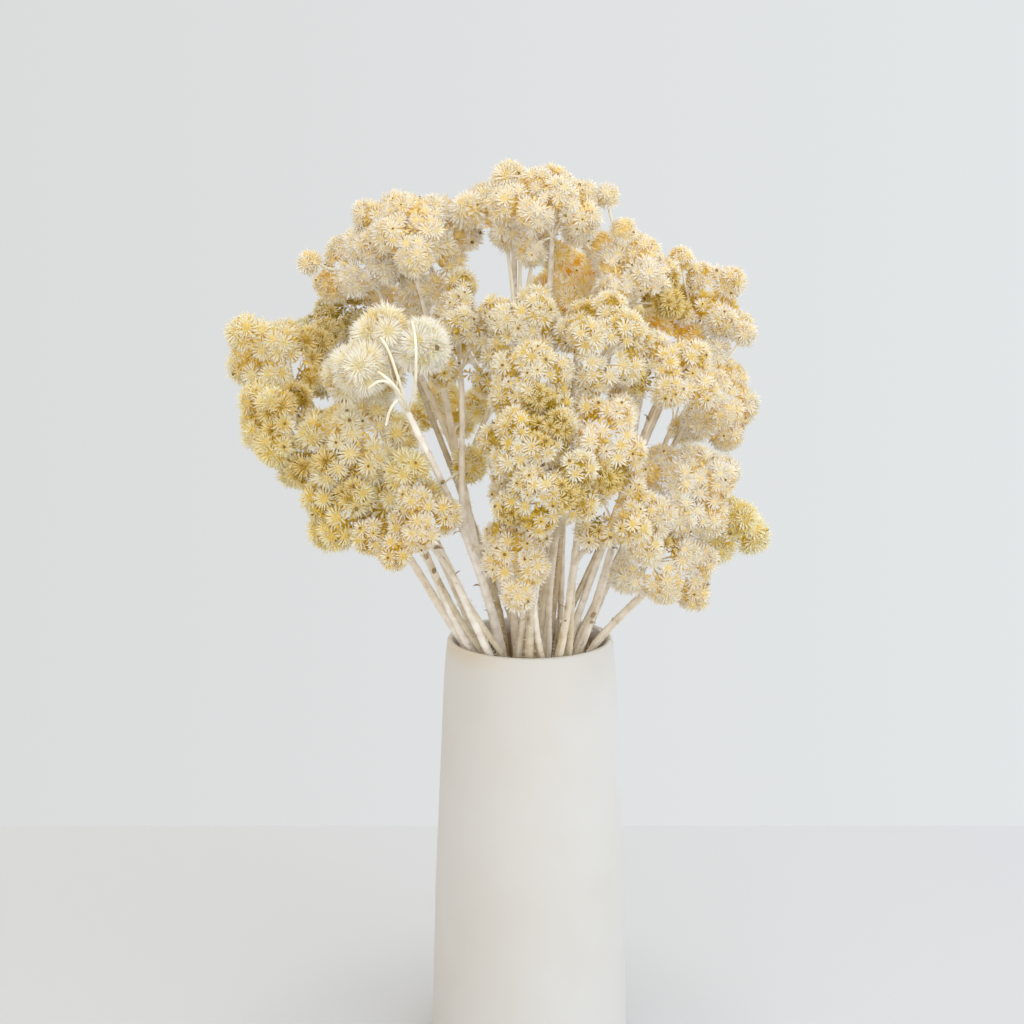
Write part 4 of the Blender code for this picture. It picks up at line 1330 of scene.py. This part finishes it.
def make_stalk(stem, foot, lines, bits, tree, looks):
    """One forked woolly stalk with its lint and leaf scraps."""
    rng = random.Random(SEED * 7 + stem)
    points = PointSet()
    tint = STALK_TINTS.get(stem, rng.uniform(*USUAL_TINTS))
    thicknesses = []
    for index, fine in enumerate(lines):
        line = eased_mouth(foot, fine) + fine if index == 0 else fine
        radii = knotted(line, STEM_RADIUS * STALK_SHARE if index == 0 else BRANCH_RADIUS, stem, rng)
        points.add_line(line, radii, tint)
        thicknesses.append(radii[-len(fine):])
    if stem in COMPANIONS:
        line = companion_line(stem, foot, lines[0])
        radii = [COMPANION_RADIUS * (1 + rng.uniform(-COMPANION_JITTER, COMPANION_JITTER)) for _ in line]
        points.add_line(line, radii, min(1.0, max(0.0, COMPANION_TINT - tint)))
    for index, i, length, shade in bits + loose_scraps(lines, rng):
        add_scrap(points, lines[index], i, thicknesses[index][i], length, shade, rng)
    piece = points.grow(f"woolly_stalk_{stem:02d}", tree, {
        "Sides": 9, "Wool Height": 0.0003, "Wool Scale": 600.0, "Lint Density": 150000.0,
        "Lint From Height": 0.205, "Seed": SEED + stem, "Wool": looks["wool"], "Lint": looks["lint"],
        "Scraps": looks["scrap"]})
    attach(piece, "root")
    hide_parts(f"stem_{stem:02d}")
    return piece


def widths_at(heights, knots):
    """The vase's radius at each height, straight between knots of height and radius."""
    return np.interp(heights, [k[0] for k in knots], [k[1] for k in knots])


def vase_profile():
    """Radius and height along the wall: from the inner floor up, over the lip, and down to the base."""
    lip = (MOUTH_RADIUS + LIP_RADIUS) / 2
    lip_half = (LIP_RADIUS - MOUTH_RADIUS) / 2
    lip_middle = VASE_HEIGHT - lip_half
    outer = [(FOOT_RADIUS - FOOT_ROUND, 0.0)]
    for i in range(1, 90 // ARC_STEP + 1):
        turn = math.radians(ARC_STEP * i)
        outer.append((FOOT_RADIUS - FOOT_ROUND * (1 - math.sin(turn)), FOOT_ROUND * (1 - math.cos(turn))))
    heights = np.linspace(FOOT_ROUND, lip_middle, OUTER_ROWS)[1:]
    widths = widths_at(heights, [(FOOT_ROUND, FOOT_RADIUS), (BELLY[1], BELLY[0]), (SHOULDER[1], SHOULDER[0]),
                                 (lip_middle, LIP_RADIUS)])
    for _ in range(SMOOTHINGS):
        widths[1:-1] = (widths[:-2] + 2 * widths[1:-1] + widths[2:]) / 4
    outer += list(zip(widths, heights))
    rim = []
    for i in range(1, 180 // ARC_STEP):
        turn = math.radians(ARC_STEP * i)
        rim.append((lip + lip_half * math.cos(turn), lip_middle + lip_half * math.sin(turn)))
    heights = np.linspace(lip_middle, VASE_FLOOR + INNER_FOOT_ROUND, INNER_ROWS)
    widths = widths_at(heights, [(VASE_FLOOR, FOOT_RADIUS - WALL), (SHOULDER[1], SHOULDER[0] - WALL),
                                 (lip_middle, MOUTH_RADIUS)])
    inner = list(zip(widths, heights)) + [(FOOT_RADIUS - WALL - INNER_FOOT_ROUND, VASE_FLOOR)]
    return [(0.0, VASE_FLOOR)] + inner[::-1] + rim[::-1] + outer[::-1] + [(0.0, 0.0)]


def make_vase(look):
    """The ceramic body, turned finely from the solid's profile with its corners rounded."""
    profile = vase_profile()
    mesh = bpy.data.meshes.new("vase_profile")
    mesh.from_pydata([(r, 0.0, z) for r, z in profile], [(i, i + 1) for i in range(len(profile) - 1)], [])
    base = linked("vase_profile", mesh)
    turn = base.modifiers.new("turn", "SCREW")
    turn.steps = turn.render_steps = VASE_STEPS
    turn.use_merge_vertices = True
    turn.merge_threshold = MERGE_WITHIN
    turn.use_smooth_shade = True
    piece = finished(base, "ceramic_vase")
    piece.data.materials.append(look)
    piece.data.shade_smooth()
    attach(piece, "root")
    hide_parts("vase")
    return piece


# Stage, light and camera
def aim_at(thing, place, target):
    thing.location = place
    thing.rotation_euler = (Vector(target) - Vector(place)).to_track_quat("-Z", "Y").to_euler()


def area_light(name, place, target, power, wide, high, colour=(1.0, 1.0, 1.0)):
    lamp = bpy.data.lights.new(name, "AREA")
    lamp.shape = "RECTANGLE"
    lamp.size, lamp.size_y = wide, high
    lamp.energy = power
    lamp.color = colour
    aim_at(linked(name, lamp), place, target)


def fill_lamp(name, place, power, target=BUNCH_MIDDLE, cone_angle=LAMP_CONE):
    """A soft lamp with a narrow cone that reaches the bunch and not the vase."""
    lamp = bpy.data.lights.new(name, "SPOT")
    lamp.energy = power
    lamp.spot_size = math.radians(cone_angle)
    lamp.spot_blend = 1.0
    lamp.shadow_soft_size = LAMP_SOFTNESS
    aim_at(linked(name, lamp), place, target)


def make_studio():
    """A pale table, a soft room, the lamps and the camera at the photo's angle."""
    table = bpy.data.meshes.new("table")
    table.from_pydata([(-TABLE_HALF_WIDTH, TABLE_FRONT, 0.0), (TABLE_HALF_WIDTH, TABLE_FRONT, 0.0),
                       (TABLE_HALF_WIDTH, TABLE_BACK, 0.0), (-TABLE_HALF_WIDTH, TABLE_BACK, 0.0)],
                      [], [(0, 1, 2, 3)])
    table.materials.append(table_white())
    floor = linked("table", table)
    world = bpy.data.worlds.new("soft_room")
    bpy.context.scene.world = world
    world.use_nodes = True
    w = Wiring(world.node_tree)
    background = world.node_tree.nodes["Background"]
    aim = w.split(w.add("ShaderNodeTexCoord").outputs["Generated"])
    colour = colour_ramp(w, w.math("MULTIPLY_ADD", aim["X"], 0.5, 0.5), [
        (0.0, (0.76, 0.70, 0.62)), (0.36, (0.620, 0.627, 0.627)), (0.64, (0.712, 0.745, 0.758)),
        (1.0, (1.16, 1.27, 1.40))])
    w.feed(background.inputs["Color"], colour)
    toward_viewer = w.math("MULTIPLY", aim["Y"], -1.0, clamp=True)
    overhead = w.math("MULTIPLY_ADD", aim["Z"], 1.6, -0.45, clamp=True)
    facing = w.math("POWER", toward_viewer, 2.5)
    strength = w.math("MULTIPLY_ADD", facing, 1.8, w.math("MULTIPLY_ADD", overhead, 0.80, 1.0))
    w.feed(background.inputs["Strength"], strength)
    area_light("window", (1.7, -1.5, 1.5), (0.0, 0.0, 0.28), 8.5, 1.8, 1.8, (0.88, 0.965, 1.0))
    area_light("ceiling", (0.2, -0.2, 2.4), (0.0, 0.0, 0.2), 8.5, 2.0, 2.0)
    fill_lamp("fill_left", (-0.80, -1.20, 0.14), 12.0)
    fill_lamp("fill_right", (0.80, -1.20, 0.14), 12.0)
    fill_lamp("fill_front", (0.0, -1.40, 0.66), 20.0)
    fill_lamp("accent", (-0.05, -1.20, 0.60), 26.0, (0.027, 0.03, 0.393), 6.0)
    fill_lamp("glow_top", (0.0, 0.05, 1.75), 26.0)
    fill_lamp("glow_left", (-0.85, 0.95, 0.75), 24.0)
    fill_lamp("glow_right", (0.85, 0.95, 0.75), 24.0)
    lens = bpy.data.cameras.new("camera")
    lens.lens = LENS
    lens.sensor_width = SENSOR_WIDTH
    camera = linked("camera", lens)
    camera.location = CAMERA_PLACE
    camera.rotation_euler = (math.radians(CAMERA_TILT), 0.0, 0.0)
    bpy.context.scene.camera = camera
    bpy.context.scene.view_settings.view_transform = "Standard"
    bpy.context.scene.view_settings.gamma = PRINT_GAMMA


def main():
    looks = {tone: bract_paper(tone, stops) for tone, stops in TONES.items()}
    looks.update(deep_gold=bract_paper("deep_gold", SHADED_GOLD), eye=eye_brown(), pedicel=pedicel_cream(),
                 wool=stalk_wool(), lint=lint_white(), scrap=scrap_brown())
    sprays = [Spray(name, row) for name, row in SPRAYS.items()]
    for number, spray in enumerate(sprays):
        spray.number = number
    runs = stem_runs(sprays)
    centres, feet, radii, owners = settle_heads(sprays, runs)
    heads_tree = spray_tree()
    for spray in sprays:
        mine = np.nonzero(owners == spray.number)[0]
        heads = [(Vector(centres[i]), Vector(feet[i]), float(radii[i])) for i in mine]
        share, middle = NARROWED.get(spray.name, (1.0, 0.0))
        for centre, _, _ in heads:
            centre.x = middle * MM + (centre.x - middle * MM) * share
        make_spray(spray, heads, (centres, radii), heads_tree, looks)
    stalks = stalk_tree()
    fine = fine_runs(sprays)
    bits = share_out(LEAF_BITS, fine)
    for stem, lines in fine.items():
        make_stalk(stem, runs[stem][0][0], lines, bits[stem], stalks, looks)
    make_vase(matte_ceramic())
    make_studio()


main()
